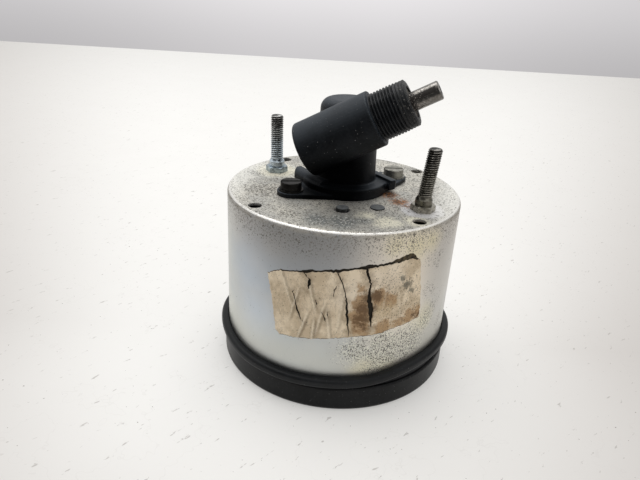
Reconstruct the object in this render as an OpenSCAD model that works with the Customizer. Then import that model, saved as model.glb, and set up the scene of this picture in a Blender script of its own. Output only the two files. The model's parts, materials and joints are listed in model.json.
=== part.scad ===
// Cable-driven magnetic tachometer with an inclined right-angle drive on its back.
// The origin is on the instrument's axis at the front plane of the bezel. +Z runs back towards the
// drive, and +X is the heading of the drive barrel. Millimetres and degrees.

/* [Case] */
// Outside diameter of the can
can_d = 80; // [72:1:100]
// Sheet thickness of the can
can_wall = 0.8; // [0.6:0.1:1.2]
// Height of the can's back face above the front plane
back_z = 63.2; // [61:0.2:72]
// Rounding of the can's back rim
rim_round = 1.5; // [0.5:0.1:2]
// Diameter of the four holes near the rim of the back
rim_hole_d = 4.4; // [3:0.1:6]
// Pitch circle of the rim holes
rim_hole_pcd = 72; // [70:0.5:73]
// Angle of the first rim hole
rim_hole_turn = 48.9; // [44:0.1:60]

/* [Front] */
// Sheet thickness of the bezel round the can
bezel_wall = 1.3; // [0.8:0.1:1.6]
// Depth of the bezel along the axis
bezel_depth = 9; // [7:0.5:12]
// Thickness of the bezel's front lip
bezel_lip = 1.2; // [0.8:0.1:1.6]
// Diameter of the opening that shows the dial
view_d = 73; // [64:0.5:73]
// Radial hold of the bezel's lip on the glass
lip_hold = 2.9; // [2:0.1:3]
// Thickness of the glass
glass_t = 2; // [1.5:0.1:2.4]
// Thickness of the seal behind the glass
seal_t = 0.8; // [0.6:0.1:1.2]
// Radial width of the seal behind the glass
seal_w = 2.4; // [1.8:0.1:2.8]
// Depth of the dial face behind the glass seal
dial_depth = 4.5; // [4:0.1:5.5]
// Thickness of the dial plate
dial_t = 0.8; // [0.5:0.1:1.2]
// Radial width of the rubber ring
ring_w = 2.7; // [2:0.1:4]
// Thickness of the rubber ring along the axis
ring_t = 3.3; // [2:0.1:5]

/* [Back fittings] */
// Thread diameter of the mounting studs
stud_d = 4.5; // [3:0.5:5]
// Pitch circle of the mounting studs
stud_pcd = 58.8; // [58.6:0.1:62]
// Angle of the line through the studs
stud_turn = 157.6; // [153:0.1:162]
// Shift of the studs' middle from the instrument's axis along X
stud_x = 0.4; // [0:0.1:1]
// Shift of the studs' middle from the instrument's axis along Y
stud_y = -2; // [-2.4:0.1:0]
// Reach of the studs behind the can's back
stud_reach = 20.4; // [12:0.2:30]
// Diameter of the stud heads inside the can
stud_head_d = 7; // [6.5:0.1:7.2]
// Thickness of the stud heads
stud_head_t = 1.5; // [1:0.1:2]
// Diameter of the studs' shanks in their nuts and in the can
stud_shank_d = 3.5; // [3:0.1:3.6]
// Width across flats of the stud nuts
nut_af = 7; // [6.5:0.1:8]
// Height of the stud nuts
nut_h = 2; // [1.6:0.1:3.2]
// Radial thickness of the stud's plain shoulder above its nut
shoulder_step = 0.5; // [0.2:0.1:0.7]
// Height of the stud's plain shoulder above its nut, with the cone that leads to the thread
shoulder_h = 2.8; // [1.6:0.1:4]
// Diameter of the raised locating peg
peg_d = 4; // [3:0.1:4.4]
// Radial clearance round the raised peg in the can
peg_clearance = 0.6; // [0.3:0.1:0.8]
// Diameter of the flush locating peg
flush_peg_d = 4.6; // [3:0.1:4.8]
// Distance of the raised peg from the axis
peg_r = 22; // [21.4:0.1:22.4]
// Distance of the flush peg from the axis
flush_peg_r = 21.2; // [20.8:0.1:22]
// Angle of the raised peg
peg_turn = -82; // [-95:0.5:-77]
// Angle of the flush peg
flush_peg_turn = -50.5; // [-57:0.5:-42]
// Height of the raised peg above the back
peg_rise = 0.9; // [0.3:0.1:1.5]
// Height of the flush peg above the back
flush_peg_rise = 0.3; // [0.1:0.1:0.6]
// Depth of both pegs in the movement frame
peg_depth = 2; // [1.5:0.1:2.4]

/* [Drive housing] */
// Tilt of the barrel above the can's back
barrel_tilt = 29.5; // [24:0.1:34]
// Height of the gears' centre above the can's back
barrel_rise = 21.8; // [21:0.1:24]
// Wall of the barrel round its gear bore, at the nipple
barrel_wall = 1.25; // [1:0.05:2]
// Growth of the barrel's radius from the nipple to the closed end, as moulding draft
barrel_draft = 0.15; // [0:0.05:0.6]
// Length of the barrel from the gear centre to its closed end
barrel_tail = 13.2; // [12.5:0.1:15]
// Length of the barrel from the gear centre to the nipple
barrel_nose = 11.9; // [10:0.1:13]
// Thread diameter of the cable nipple
nipple_d = 15; // [14:0.1:16]
// Length of the cable nipple
nipple_len = 11.6; // [10:0.1:14]
// Wall of the upright boss round its gear bore
boss_wall = 2.9; // [2.4:0.1:3.4]
// Loss of the boss's radius from the flange to the top, as moulding draft
boss_draft = 0.9; // [0:0.1:1]
// Thickness of the boss's domed roof
boss_roof = 4; // [3.5:0.1:5]
// Rounding of the boss's roof
boss_round = 3.5; // [1:0.1:3.5]
// Step from the boss out to the edge of the flange
flange_step = 4; // [3.5:0.1:4.5]
// Height of the round flange
flange_h = 3.8; // [3:0.1:4.4]
// Thickness of the two ears
ear_t = 1.5; // [1.2:0.1:2]
// End radius of the ears
ear_end_r = 4.6; // [4.3:0.1:5]
// Distance of the clamp screws from the axis
screw_r = 20.6; // [20.4:0.1:21.4]
// Angle of the line through the clamp screws
screw_turn = 40.5; // [36:0.5:48]
// Height of the lug beside each ear
lug_h = 4.9; // [4.7:0.1:6]
// Width of the lug
lug_w = 4; // [3:0.1:4.4]
// Distance of the lug's centre line from the axis
lug_offset = 11.4; // [10.8:0.1:12]
// Distance of the lug's end from the axis
lug_reach = 17.6; // [16.8:0.1:18]
// Heading of the lug on the barrel's side
lug_turn = -44.5; // [-50:0.5:-40]
// Radius of the spigot that centres the housing in the can
spigot_r = 9; // [8.6:0.1:9.6]

/* [Fasteners] */
// Thread diameter of the clamp screws
screw_d = 4; // [3.5:0.1:4.2]
// Head diameter of the clamp screws
head_d = 7; // [6.8:0.1:7.4]
// Head height of the clamp screws
head_h = 2.5; // [2:0.1:3]
// Outside diameter of the washers
washer_d = 8.2; // [7.8:0.1:8.8]
// Thickness of the washers
washer_t = 0.5; // [0.4:0.1:0.8]
// Width of the screwdriver slots
slot_w = 1; // [0.6:0.1:1.2]
// Thread diameter of the small movement screws
small_screw_d = 2.5; // [2:0.1:2.6]
// Head diameter of the dial screws
dial_head_d = 4; // [3.8:0.1:4.5]
// Head height of the dial screws
dial_head_h = 1; // [0.8:0.1:1.2]

/* [Gears] */
// Distance between the two gear shafts
gear_centre = 13; // [12.6:0.1:13.6]
// Number of teeth on each gear
gear_teeth = 11; // [10:1:12]
// Face width of each gear
gear_w = 9; // [8:0.5:9.5]
// Pressure angle in the normal plane
pressure_angle = 20; // [18:0.5:22]
// Backlash at the pitch circle
backlash = 0.16; // [0.12:0.01:0.24]
// Clearance of the gear tips in their bores
tip_gap = 0.15; // [0.1:0.01:0.3]
// Diameter of the output shaft
out_shaft_d = 6; // [5.4:0.1:6.4]
// Diameter of the input shaft in its gear and bush
in_journal_d = 6.2; // [6.2:0.1:6.4]
// Diameter of the input shaft's end outside the bush
in_shaft_d = 5.8; // [5:0.1:6]
// Reach of the input shaft beyond the nipple
shaft_out = 8.7; // [5:0.1:12]
// Width across flats of the square socket for the cable
cable_square = 2.7; // [2:0.1:3]
// Depth of the square socket for the cable
cable_depth = 6; // [4:0.1:8]
// Thickness of the thrust washers
thrust_t = 0.5; // [0.4:0.1:0.7]

/* [Movement] */
// Radius of the movement frame's base
base_r = 24.2; // [23.8:0.1:24.4]
// Thickness of the movement frame's base
base_t = 3; // [2.8:0.1:4]
// Distance of the frame's columns from the axis
column_r = 20; // [19:0.1:20.4]
// Diameter of the frame's columns
column_d = 6.4; // [5.6:0.1:7]
// Radius of the frame's hub round the bush
hub_r = 8.5; // [8:0.1:9.4]
// Radius of the spindle bush
bush_r = 6; // [5.4:0.1:6.6]
// Diameter of the magnet spindle
spindle_d = 8; // [7.4:0.1:8.6]
// Width across flats of the square drive between shaft and spindle
tang_af = 3.4; // [3:0.1:3.8]
// Radius of the magnet
magnet_r = 11; // [10:0.1:11.6]
// Length of the magnet
magnet_len = 8; // [6:0.1:10]
// Air gap on each side of the drag cup
air_gap = 0.9; // [0.7:0.1:1]
// Wall of the drag cup
cup_wall = 0.5; // [0.4:0.1:0.7]
// Wall of the field cup round the drag cup
field_wall = 1.3; // [1:0.1:1.5]
// Distance from the can's back to the front face of the magnet
magnet_depth = 27.2; // [26.8:0.1:28]
// Thickness of the bridge plate
bridge_t = 2.5; // [2:0.1:3]
// Width of the bridge bar
bridge_w = 9; // [8:0.1:11]
// Distance from the can's back to the rear face of the bridge
bridge_depth = 33.7; // [33:0.1:35]
// Diameter of the pointer staff
staff_d = 1.5; // [1.2:0.1:1.8]
// Turns of the hairspring
spring_turns = 4; // [3:0.5:5]
// Outer radius of the hairspring
spring_r = 8; // [7.2:0.1:8.4]
// Thickness of the hairspring strip
strip_t = 0.2; // [0.16:0.02:0.24]
// Width of the hairspring strip
strip_w = 0.8; // [0.6:0.1:1]
// Length of the pointer from its hub to its tip
pointer_len = 30; // [26:0.5:31]
// Length of the pointer's tail
pointer_tail = 9; // [7:0.5:11]
// Thickness of the pointer
pointer_t = 0.5; // [0.4:0.1:0.6]
// Diameter of the pointer's cap
cap_d = 11; // [9:0.5:13]
// Angle of the pointer at rest
zero_turn = 113; // [108:1:118]
// Sweep of the pointer between its stops
sweep = 270; // [240:1:280]

/* [Label] */
// Angle of the paper label's middle
label_turn = -76.6; // [-90:0.1:-60]
// Height of the paper label's middle above the front plane
label_mid = 39.5; // [36:0.1:42]
// Length of the paper label round the can
label_len = 49; // [40:0.5:56]
// Width of the paper label
label_w = 21.8; // [14:0.2:24]
// Skew of the label on the can
label_skew = 7.5; // [0:0.5:9]
// Thickness of the paper
label_t = 0.12; // [0.08:0.01:0.15]

/* [Clearances] */
// Radial clearance between a shaft and its bearing
run_gap = 0.03; // [0.02:0.01:0.06]
// Radial clearance of pieces that are pressed or glued together
seat_gap = 0.02; // [0.01:0.01:0.04]
// Radial clearance of screws and studs in their holes
hole_gap = 0.15; // [0.1:0.01:0.25]
// Gap that keeps moving pieces off fixed ones
free_gap = 0.3; // [0.3:0.05:0.5]

/* [Hidden] */
$fn = 64;
eps = 0.01;
can_r = can_d / 2;
can_in = can_r - can_wall;
back_in = back_z - can_wall;

// Front stack, counted back from the front plane
glass_z = bezel_lip;
seal_z = glass_z + glass_t;
can_front = seal_z + seal_t;
dial_z = can_front + dial_depth;
dial_back = dial_z + dial_t;
glass_play = 0.1;
glass_r = view_d / 2 + lip_hold;
seal_r = can_r - glass_play;
seat_r = glass_r + glass_play;
bezel_r = max(can_r, seat_r) + bezel_wall;
dial_r = can_in - free_gap;
dial_ring_wall = 1.4;
staff_r = staff_d / 2;
pointer_gap = 2.4;
pointer_z = dial_z - pointer_gap;
pointer_w = 2.2;
stop_r = pointer_len * 0.8;
stop_pin_r = 0.5;
stop_pin_lead = 0.5;
stop_lag = asin((pointer_w / 2 + stop_pin_r + free_gap) / stop_r);
cap_h = 2.2;
cap_z = pointer_z + pointer_t - cap_h;

// Gears: an equal pair of crossed helical gears
helix = (90 - barrel_tilt) / 2;
pitch_r = gear_centre / 2;
normal_module = 2 * pitch_r * cos(helix) / gear_teeth;
gear_r = pitch_r + 0.85 * normal_module;
root_r = pitch_r - 1.1 * normal_module;
gear_bore_r = gear_r + tip_gap;
end_play = 0.15;
out_r = out_shaft_d / 2;
in_r = in_journal_d / 2;
bush_sink = 0.4;
journal_r = 2;
journal_len = 6;

// Levels of the upright side, above the front plane
gear_z = back_z + barrel_rise;
bore_top = gear_z + gear_w / 2 + end_play;
boss_top = bore_top + boss_roof;
boss_r = gear_bore_r + boss_wall;
barrel_r = gear_bore_r + barrel_wall;
nipple_r = nipple_d / 2;
nipple_end = barrel_nose + nipple_len;
flange_r = boss_r + flange_step;
spindle_top = back_z + 0.8;
out_bush_bottom = spindle_top + 1;
out_bush_top = gear_z - gear_w / 2 - 2 * end_play - thrust_t;
nose_r = out_r + 1.6;
nose_h = 3;
in_bush_r = in_r + 1.9;
thrust_r = in_r + 1.6;
plug_nose = gear_w / 2 + 2 * end_play + thrust_t;
tang_bottom = back_z - 5;
socket_bottom = tang_bottom - 0.5;

// Levels of the movement
base_z = back_in - base_t;
magnet_z = back_z - magnet_depth;
magnet_back = magnet_z + magnet_len;
cup_r = magnet_r + air_gap + cup_wall;
field_r = cup_r + air_gap + field_wall;
field_base_t = 1.2;
field_back = magnet_back + field_base_t;
cup_bottom_t = 0.5;
cup_z = magnet_z - 0.6 - cup_bottom_t;
spindle_r = spindle_d / 2;
neck_r = 3;
neck_z = magnet_z + 0.4;
bush_front = field_back + 0.8;
bush_back = back_z - 1.4;
bridge_z = back_z - bridge_depth - bridge_t;
spring_z = bridge_z - 3.4;
collet_r = 2.2;
pivot_r = 0.5;
pivot_len = 2.2;
small_r = small_screw_d / 2;
bush_seat_r = staff_r + 1.75;
tenon_r = 1.5;
tenon_len = 6;
screw_depth = 4;
pillar_af = 5.5;
post_r = 0.7;
post_centre = spring_r + strip_t / 2 + seat_gap + post_r;
screw_hole_r = screw_d / 2 + hole_gap;
stud_r = stud_d / 2;
shank_r = stud_shank_d / 2;
nut_turn = 30;
steel = [0.72, 0.73, 0.75];
black = [0.09, 0.09, 0.10];
brass = [0.78, 0.62, 0.32];

// Copies the child n times round the Z axis, at radius r, from the angle start
module ring_of(n, r, start) {
    for (i = [0 : n - 1]) {
        rotate([0, 0, start + i * 360 / n]) translate([r, 0, 0]) children();
    }
}

// A round tube standing on the level z0
module tube(r_out, r_in, z0, z1) {
    translate([0, 0, z0]) difference() {
        cylinder(r = r_out, h = z1 - z0);
        translate([0, 0, -1]) cylinder(r = r_in, h = z1 - z0 + 2);
    }
}

// A round bar between two levels
module bar(r, z0, z1) {
    translate([0, 0, z0]) cylinder(r = r, h = z1 - z0);
}

// Copies the child onto both mounting studs
module at_studs() {
    translate([stud_x, stud_y, 0]) ring_of(2, stud_pcd / 2, stud_turn) children();
}

// Places the child on the barrel's axis, with its Z axis along the barrel and 0 at the gear centre
module on_barrel() {
    translate([0, -gear_centre, gear_z]) rotate([0, 90 - barrel_tilt, 0]) children();
}

// A turned solid with a rounded outer top edge. Its side loses the radius draft over its height.
module rounded_top(r, z0, z1, round_r, draft = 0) {
    slope = atan(draft / (z1 - z0));
    centre_z = z1 - round_r;
    centre_r = r - (centre_z - z0) * tan(slope) - round_r / cos(slope);
    rotate_extrude() {
        polygon([
            [0, z0], [r, z0],
            [centre_r, centre_z] + round_r * [cos(slope), sin(slope)],
            [centre_r, centre_z], [centre_r, z1], [0, z1]]);
        intersection() {
            translate([centre_r, centre_z]) circle(r = round_r);
            translate([centre_r, centre_z]) square([round_r, round_r]);
        }
    }
}

// Half width angle of a tooth at radius r, for an involute flank, in degrees
function involute(a) = tan(a) * 180 / PI - a;
function flank_angle(r, base, half, at) =
    half + involute(at) - (r > base ? involute(acos(base / r)) : 0);

// Outline of a helical gear in the plane across its axis
module gear_outline() {
    at = atan(tan(pressure_angle) / cos(helix));
    base = pitch_r * cos(at);
    half = 90 / gear_teeth - backlash / (4 * pitch_r) * 180 / PI;
    radii = [root_r, base, base + (gear_r - base) / 4, base + (gear_r - base) / 2,
             base + (gear_r - base) * 3 / 4, gear_r];
    count = len(radii);
    polygon([for (tooth = [0 : gear_teeth - 1]) for (i = [0 : 2 * count - 1])
        let (rising = i < count)
        let (r = rising ? radii[i] : radii[2 * count - 1 - i])
        let (side = flank_angle(r, base, half, at))
        let (a = tooth * 360 / gear_teeth + (rising ? -side : side))
        [r * cos(a), r * sin(a)]]);
}

// A helical gear centred on its own face width, with a tooth on +X at mid width
module helical_gear(shaft_r) {
    twist_angle = gear_w * tan(helix) / pitch_r * 180 / PI;
    bore_sides = 24;
    rotate([0, 0, -twist_angle / 2])
        linear_extrude(height = gear_w, twist = -twist_angle, slices = 12, center = true)
            difference() {
                gear_outline();
                circle(r = (shaft_r + seat_gap) / cos(180 / bore_sides), $fn = bore_sides);
            }
}

// A slotted cheese head with its underside at z = 0
module cheese_head(d, h, slot, slot_angle) {
    difference() {
        rounded_top(d / 2, 0, h, 0.3);
        rotate([0, 0, slot_angle]) translate([-d, -slot / 2, h * 0.55]) cube([2 * d, slot, h]);
    }
}

// Drawn steel can, open at the front, with the holes of its back
module rear_case() {
    color(steel) difference() {
        rounded_top(can_r, can_front, back_z, rim_round);
        translate([0, 0, can_front - 1])
            rounded_top(can_in, 0, back_in - can_front + 1, max(rim_round - can_wall, 0.2));
        bar(spigot_r + 0.1, back_in - 1, back_z + 1);
        ring_of(4, rim_hole_pcd / 2, rim_hole_turn) bar(rim_hole_d / 2, back_in - 1, back_z + 1);
        at_studs() bar(shank_r + hole_gap, back_in - 1, back_z + 1);
        ring_of(2, screw_r, screw_turn) bar(screw_hole_r, back_in - 1, back_z + 1);
        ring_of(1, peg_r, peg_turn) bar(peg_d / 2 + peg_clearance, back_in - 1, back_z + 1);
        ring_of(1, flush_peg_r, flush_peg_turn)
            bar(flush_peg_d / 2 + hole_gap, back_in - 1, back_z + 1);
    }
}

// Bezel rolled over the glass, with a rounded front edge and a crimped rear edge
module bezel_ring() {
    front_round = 1.8;
    rear_round = 0.8;
    bores = [[view_d / 2, -1, glass_z], [seat_r, glass_z, seal_z], [can_r, seal_z, bezel_depth + 1]];
    color(black) rotate_extrude() difference() {
        union() {
            square([bezel_r - front_round, bezel_depth]);
            translate([0, front_round]) square([bezel_r - rear_round, bezel_depth - front_round]);
            translate([0, front_round]) square([bezel_r, bezel_depth - front_round - rear_round]);
            translate([bezel_r - front_round, front_round]) circle(r = front_round);
            translate([bezel_r - rear_round, bezel_depth - rear_round]) circle(r = rear_round);
        }
        for (bore = bores) translate([-1, bore[1]]) square([bore[0] + 1, bore[2] - bore[1] + eps]);
    }
}

// Rubber ring that seals the case against the panel, rounded on its outside
module rubber_ring() {
    ring_round = 0.9;
    outer = can_r + ring_w;
    color(black) rotate_extrude() {
        translate([can_r, bezel_depth]) square([ring_w - ring_round, ring_t]);
        translate([can_r, bezel_depth + ring_round]) square([ring_w, ring_t - 2 * ring_round]);
        for (z = [bezel_depth + ring_round, bezel_depth + ring_t - ring_round]) {
            translate([outer - ring_round, z]) circle(r = ring_round);
        }
    }
}

// Flat glass held under the bezel's lip
module glass() {
    color([0.8, 0.9, 0.9, 0.35]) bar(glass_r, glass_z, seal_z);
}

// Seal between the glass and the can's front edge
module glass_seal() {
    color(black) tube(seal_r, min(glass_r, seal_r) - seal_w, seal_z, can_front);
}

// Ring that keeps the dial at its distance from the glass
module dial_ring() {
    color(black) rotate_extrude() polygon([
        [dial_r, can_front], [dial_r, dial_z], [dial_r - dial_ring_wall - 0.8, dial_z],
        [dial_r - dial_ring_wall, can_front]]);
}

// Dial plate with the hole for the staff and two screw holes
module dial_plate() {
    color([0.06, 0.06, 0.06]) difference() {
        bar(dial_r, dial_z, dial_back);
        bar(staff_r + 1, dial_z - 1, dial_back + 1);
        ring_of(2, column_r, stud_turn) bar(small_r + hole_gap, dial_z - 1, dial_back + 1);
        ring_of(1, stop_r, zero_turn - stop_lag) bar(stop_pin_r + seat_gap, dial_z - 1, dial_back + 1);
        ring_of(1, stop_r, zero_turn + sweep + stop_lag)
            bar(stop_pin_r + seat_gap, dial_z - 1, dial_back + 1);
    }
}

// Two screws that hold the dial on the pillars
module dial_screws() {
    color(black) ring_of(2, column_r, stud_turn) {
        translate([0, 0, dial_z]) mirror([0, 0, 1]) cheese_head(dial_head_d, dial_head_h, 0.6, 30);
        bar(small_r, dial_z - eps, dial_back + screw_depth);
    }
}

// Stop pins at both ends of the pointer's sweep
module stop_pins() {
    color(steel) {
        ring_of(1, stop_r, zero_turn - stop_lag)
            bar(stop_pin_r, pointer_z - stop_pin_lead, dial_back);
        ring_of(1, stop_r, zero_turn + sweep + stop_lag)
            bar(stop_pin_r, pointer_z - stop_pin_lead, dial_back);
    }
}

// Die-cast movement frame: base, hub and two columns
module movement_frame() {
    column_end = bridge_z + bridge_t;
    color([0.62, 0.62, 0.64]) difference() {
        union() {
            bar(base_r, base_z, back_in);
            bar(hub_r, bush_front, base_z + eps);
            translate([0, 0, base_z - 3]) cylinder(r1 = hub_r, r2 = hub_r + 3, h = 3 + eps);
            ring_of(2, column_r, stud_turn) bar(column_d / 2, column_end, base_z + eps);
            ring_of(2, column_r, stud_turn) translate([0, 0, base_z - 4])
                cylinder(r1 = column_d / 2, r2 = column_d / 2 + 1.4, h = 4 + eps);
        }
        bar(bush_r + seat_gap, bush_front - 1, back_in + 1);
        ring_of(2, screw_r, screw_turn) bar(screw_d / 2 + seat_gap, base_z - 1, back_in + 1);
        ring_of(1, peg_r, peg_turn) bar(peg_d / 2 + seat_gap, back_in - peg_depth, back_in + 1);
        ring_of(1, flush_peg_r, flush_peg_turn)
            bar(flush_peg_d / 2 + seat_gap, back_in - peg_depth, back_in + 1);
        ring_of(2, column_r, stud_turn) bar(tenon_r + seat_gap, column_end - 1, column_end + tenon_len + 2);
    }
}

// Bridge across the columns, which carries the staff's bush and the spring's post
module movement_bridge() {
    color([0.7, 0.7, 0.68]) difference() {
        union() {
            rotate([0, 0, stud_turn]) translate([-column_r, -bridge_w / 2, bridge_z])
                cube([2 * column_r, bridge_w, bridge_t]);
            ring_of(2, column_r, stud_turn) bar(bridge_w / 2, bridge_z, bridge_z + bridge_t);
            bar(post_centre + post_r + 0.9, bridge_z, bridge_z + bridge_t);
        }
        bar(bush_seat_r + seat_gap, bridge_z - 1, bridge_z + bridge_t + 1);
        ring_of(2, column_r, stud_turn) bar(tenon_r + hole_gap, bridge_z - 1, bridge_z + bridge_t + 1);
        ring_of(1, post_centre, stud_turn + 90)
            bar(post_r + seat_gap, bridge_z - 1, bridge_z + bridge_t + 1);
    }
}

// Hexagonal pillars that clamp the bridge and carry the dial
module bridge_pillars() {
    color(brass) ring_of(2, column_r, stud_turn) difference() {
        union() {
            translate([0, 0, dial_back])
                cylinder(r = pillar_af / sqrt(3), h = bridge_z - dial_back, $fn = 6);
            bar(tenon_r, bridge_z - eps, bridge_z + bridge_t + tenon_len);
        }
        bar(small_r + seat_gap, dial_back - 1, dial_back + screw_depth + 1);
    }
}

// Bush in the bridge for the pointer staff
module staff_bush() {
    color(brass) difference() {
        union() {
            bar(bush_seat_r, bridge_z - 0.6, bridge_z + bridge_t);
            bar(bush_seat_r + 1, bridge_z + bridge_t, bridge_z + bridge_t + 0.8);
        }
        bar(staff_r + run_gap, bridge_z - 2, bridge_z + bridge_t + 2);
    }
}

// Bush in the frame's hub for the magnet spindle
module spindle_bush() {
    color(brass) tube(bush_r, spindle_r + run_gap, bush_front - 0.4, bush_back);
}

// Post on the bridge that holds the hairspring's outer end
module spring_post() {
    color(brass) ring_of(1, post_centre, stud_turn + 90)
        bar(post_r, spring_z - strip_w / 2 - 0.4, bridge_z + bridge_t);
}

// Flat spiral hairspring, from beside the collet out to its post
module hairspring() {
    steps = 36;
    inner = collet_r + free_gap + strip_t / 2;
    last = spring_turns * steps;
    arms = [for (i = [0 : last]) let (a = i * 360 / steps) [inner + (spring_r - inner) * i / last, a]];
    start = stud_turn + 90 - spring_turns * 360;
    color([0.8, 0.66, 0.35]) translate([0, 0, spring_z]) rotate([0, 0, start])
        linear_extrude(height = strip_w, center = true) polygon(concat(
            [for (i = [0 : last]) (arms[i][0] + strip_t / 2) * [cos(arms[i][1]), sin(arms[i][1])]],
            [for (i = [last : -1 : 0])
                (arms[i][0] - strip_t / 2) * [cos(arms[i][1]), sin(arms[i][1])]]));
}

// Mounting studs: a thread, a coned shoulder on the nut, and a shank riveted over inside the can
module mounting_studs() {
    chamfer = 0.5;
    cone_h = 2 * shoulder_step;
    shoulder_r = stud_r + shoulder_step;
    shoulder_top = back_z + nut_h + shoulder_h;
    color(steel) at_studs() {
        bar(stud_head_d / 2, back_in - stud_head_t, back_in);
        bar(shank_r, back_in - eps, back_z + nut_h + eps);
        bar(shoulder_r, back_z + nut_h, shoulder_top - cone_h);
        translate([0, 0, shoulder_top - cone_h - eps])
            cylinder(r1 = shoulder_r, r2 = stud_r, h = cone_h + eps);
        bar(stud_r, shoulder_top - eps, back_z + stud_reach - chamfer);
        translate([0, 0, back_z + stud_reach - chamfer - eps])
            cylinder(r1 = stud_r, r2 = stud_r - chamfer, h = chamfer);
    }
}

// Hexagon nuts that the studs' shoulders clamp on the can's back
module stud_nuts() {
    color(steel) at_studs() rotate([0, 0, nut_turn]) difference() {
        translate([0, 0, back_z]) intersection() {
            cylinder(r = nut_af / sqrt(3), h = nut_h, $fn = 6);
            cylinder(r1 = nut_af / 2 + nut_h * 1.2, r2 = nut_af / 2 + 0.1, h = nut_h);
        }
        bar(shank_r + seat_gap, back_z - 1, back_z + nut_h + 1);
    }
}

// One round-ended ear of the housing, as an outline that starts inside the flange
module ear_outline() {
    inner_r = flange_r - 0.6;
    tangent = acos((inner_r - ear_end_r) / screw_r);
    translate([screw_r, 0]) circle(r = ear_end_r);
    polygon([
        [0, 0],
        inner_r * [cos(tangent), sin(tangent)],
        [screw_r, 0] + ear_end_r * [cos(tangent), sin(tangent)],
        [screw_r, 0] + ear_end_r * [cos(tangent), -sin(tangent)],
        inner_r * [cos(tangent), -sin(tangent)]]);
}

// Lug beside an ear: a bar that runs past the boss, with its outer top edge rounded
module lug() {
    start = -4;
    length = 17.4;
    round_r = 2.4;
    inner = lug_offset - lug_w / 2;
    rise = lug_h - ear_t;
    translate([0, 0, back_z + ear_t]) intersection() {
        translate([start, 0, 0]) rotate([90, 0, 90]) linear_extrude(height = length) {
            translate([inner, 0]) square([lug_w - round_r, rise]);
            translate([inner, 0]) square([lug_w, rise - round_r]);
            translate([inner + lug_w - round_r, rise - round_r]) circle(r = round_r);
        }
        cylinder(r = lug_reach, h = rise + 1);
    }
}

// Moulded right-angle drive housing: flange, ears, lugs, upright boss, inclined barrel and nipple
module drive_housing() {
    nipple_chamfer = 0.6;
    edge = 0.4;
    tail_round = 0.6;
    color(black) difference() {
        union() {
            rounded_top(flange_r, back_z, back_z + flange_h, edge);
            bar(spigot_r, back_in, back_z + eps);
            for (turn = [0, 180]) {
                rotate([0, 0, screw_turn + turn]) translate([0, 0, back_z])
                    linear_extrude(height = ear_t) ear_outline();
                rotate([0, 0, lug_turn + turn]) lug();
            }
            rounded_top(boss_r, back_z + flange_h / 2, boss_top, boss_round, boss_draft);
            on_barrel() {
                mirror([0, 0, 1])
                    rounded_top(barrel_r, -barrel_nose, barrel_tail, tail_round, -barrel_draft);
                bar(nipple_r, barrel_nose - 1, nipple_end - nipple_chamfer);
                translate([0, 0, nipple_end - nipple_chamfer])
                    cylinder(r1 = nipple_r, r2 = nipple_r - nipple_chamfer, h = nipple_chamfer);
            }
        }
        bar(gear_bore_r, back_in - 1, bore_top);
        bar(journal_r + run_gap, bore_top - 1, bore_top + boss_roof - 1);
        on_barrel() {
            bar(gear_bore_r, -barrel_tail - 1, plug_nose);
            bar(in_bush_r + seat_gap, 0, nipple_end + 1);
        }
        ring_of(2, screw_r, screw_turn) bar(screw_hole_r, back_z - 1, back_z + ear_t + 1);
    }
}

// Slotted cheese-head screws through the ears into the movement frame
module clamp_screws() {
    seat = back_z + ear_t + washer_t;
    slot_angles = [-25, 160];
    color(steel) for (i = [0, 1]) {
        rotate([0, 0, screw_turn + 180 * i]) translate([screw_r, 0, 0]) {
            translate([0, 0, seat]) cheese_head(head_d, head_h, slot_w, slot_angles[i]);
            bar(screw_d / 2, base_z + 0.2, seat + eps);
        }
    }
}

// Washers under the clamp screws
module clamp_washers() {
    color(steel) ring_of(2, screw_r, screw_turn)
        tube(washer_d / 2, screw_d / 2 + hole_gap, back_z + ear_t, back_z + ear_t + washer_t);
}

// Pegs of the movement frame in the back of the can, which the flush one locates
module locating_pegs() {
    color([0.2, 0.2, 0.21]) {
        ring_of(1, peg_r, peg_turn) bar(peg_d / 2, back_in - peg_depth, back_z + peg_rise);
        ring_of(1, flush_peg_r, flush_peg_turn)
            bar(flush_peg_d / 2, back_in - peg_depth, back_z + flush_peg_rise);
    }
}

// Plug that closes the barrel and carries the input shaft's inner end
module barrel_plug() {
    color(black) on_barrel() difference() {
        union() {
            bar(gear_bore_r - seat_gap, -barrel_tail, -plug_nose - nose_h);
            bar(thrust_r, -plug_nose - nose_h - eps, -plug_nose);
        }
        bar(journal_r + run_gap, -plug_nose - journal_len - 0.5, -plug_nose + 1);
    }
}

// Bush in the nipple for the input shaft
module input_bush() {
    color(brass) on_barrel()
        tube(in_bush_r, in_r + run_gap, plug_nose, nipple_end - bush_sink);
}

// Bush in the neck of the boss for the output shaft
module output_bush() {
    color(brass) difference() {
        union() {
            bar(gear_bore_r - seat_gap, out_bush_bottom, out_bush_top - nose_h);
            bar(nose_r, out_bush_top - nose_h - eps, out_bush_top);
        }
        bar(out_r + run_gap, out_bush_bottom - 1, out_bush_top + 1);
    }
}

// Thrust washers beside the gears
module thrust_washers() {
    color(brass) {
        tube(nose_r, out_r + free_gap, out_bush_top, out_bush_top + thrust_t);
        on_barrel() {
            tube(thrust_r, in_r + free_gap, plug_nose - thrust_t, plug_nose);
            tube(thrust_r, journal_r + free_gap, -plug_nose, -plug_nose + thrust_t);
        }
    }
}

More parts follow.
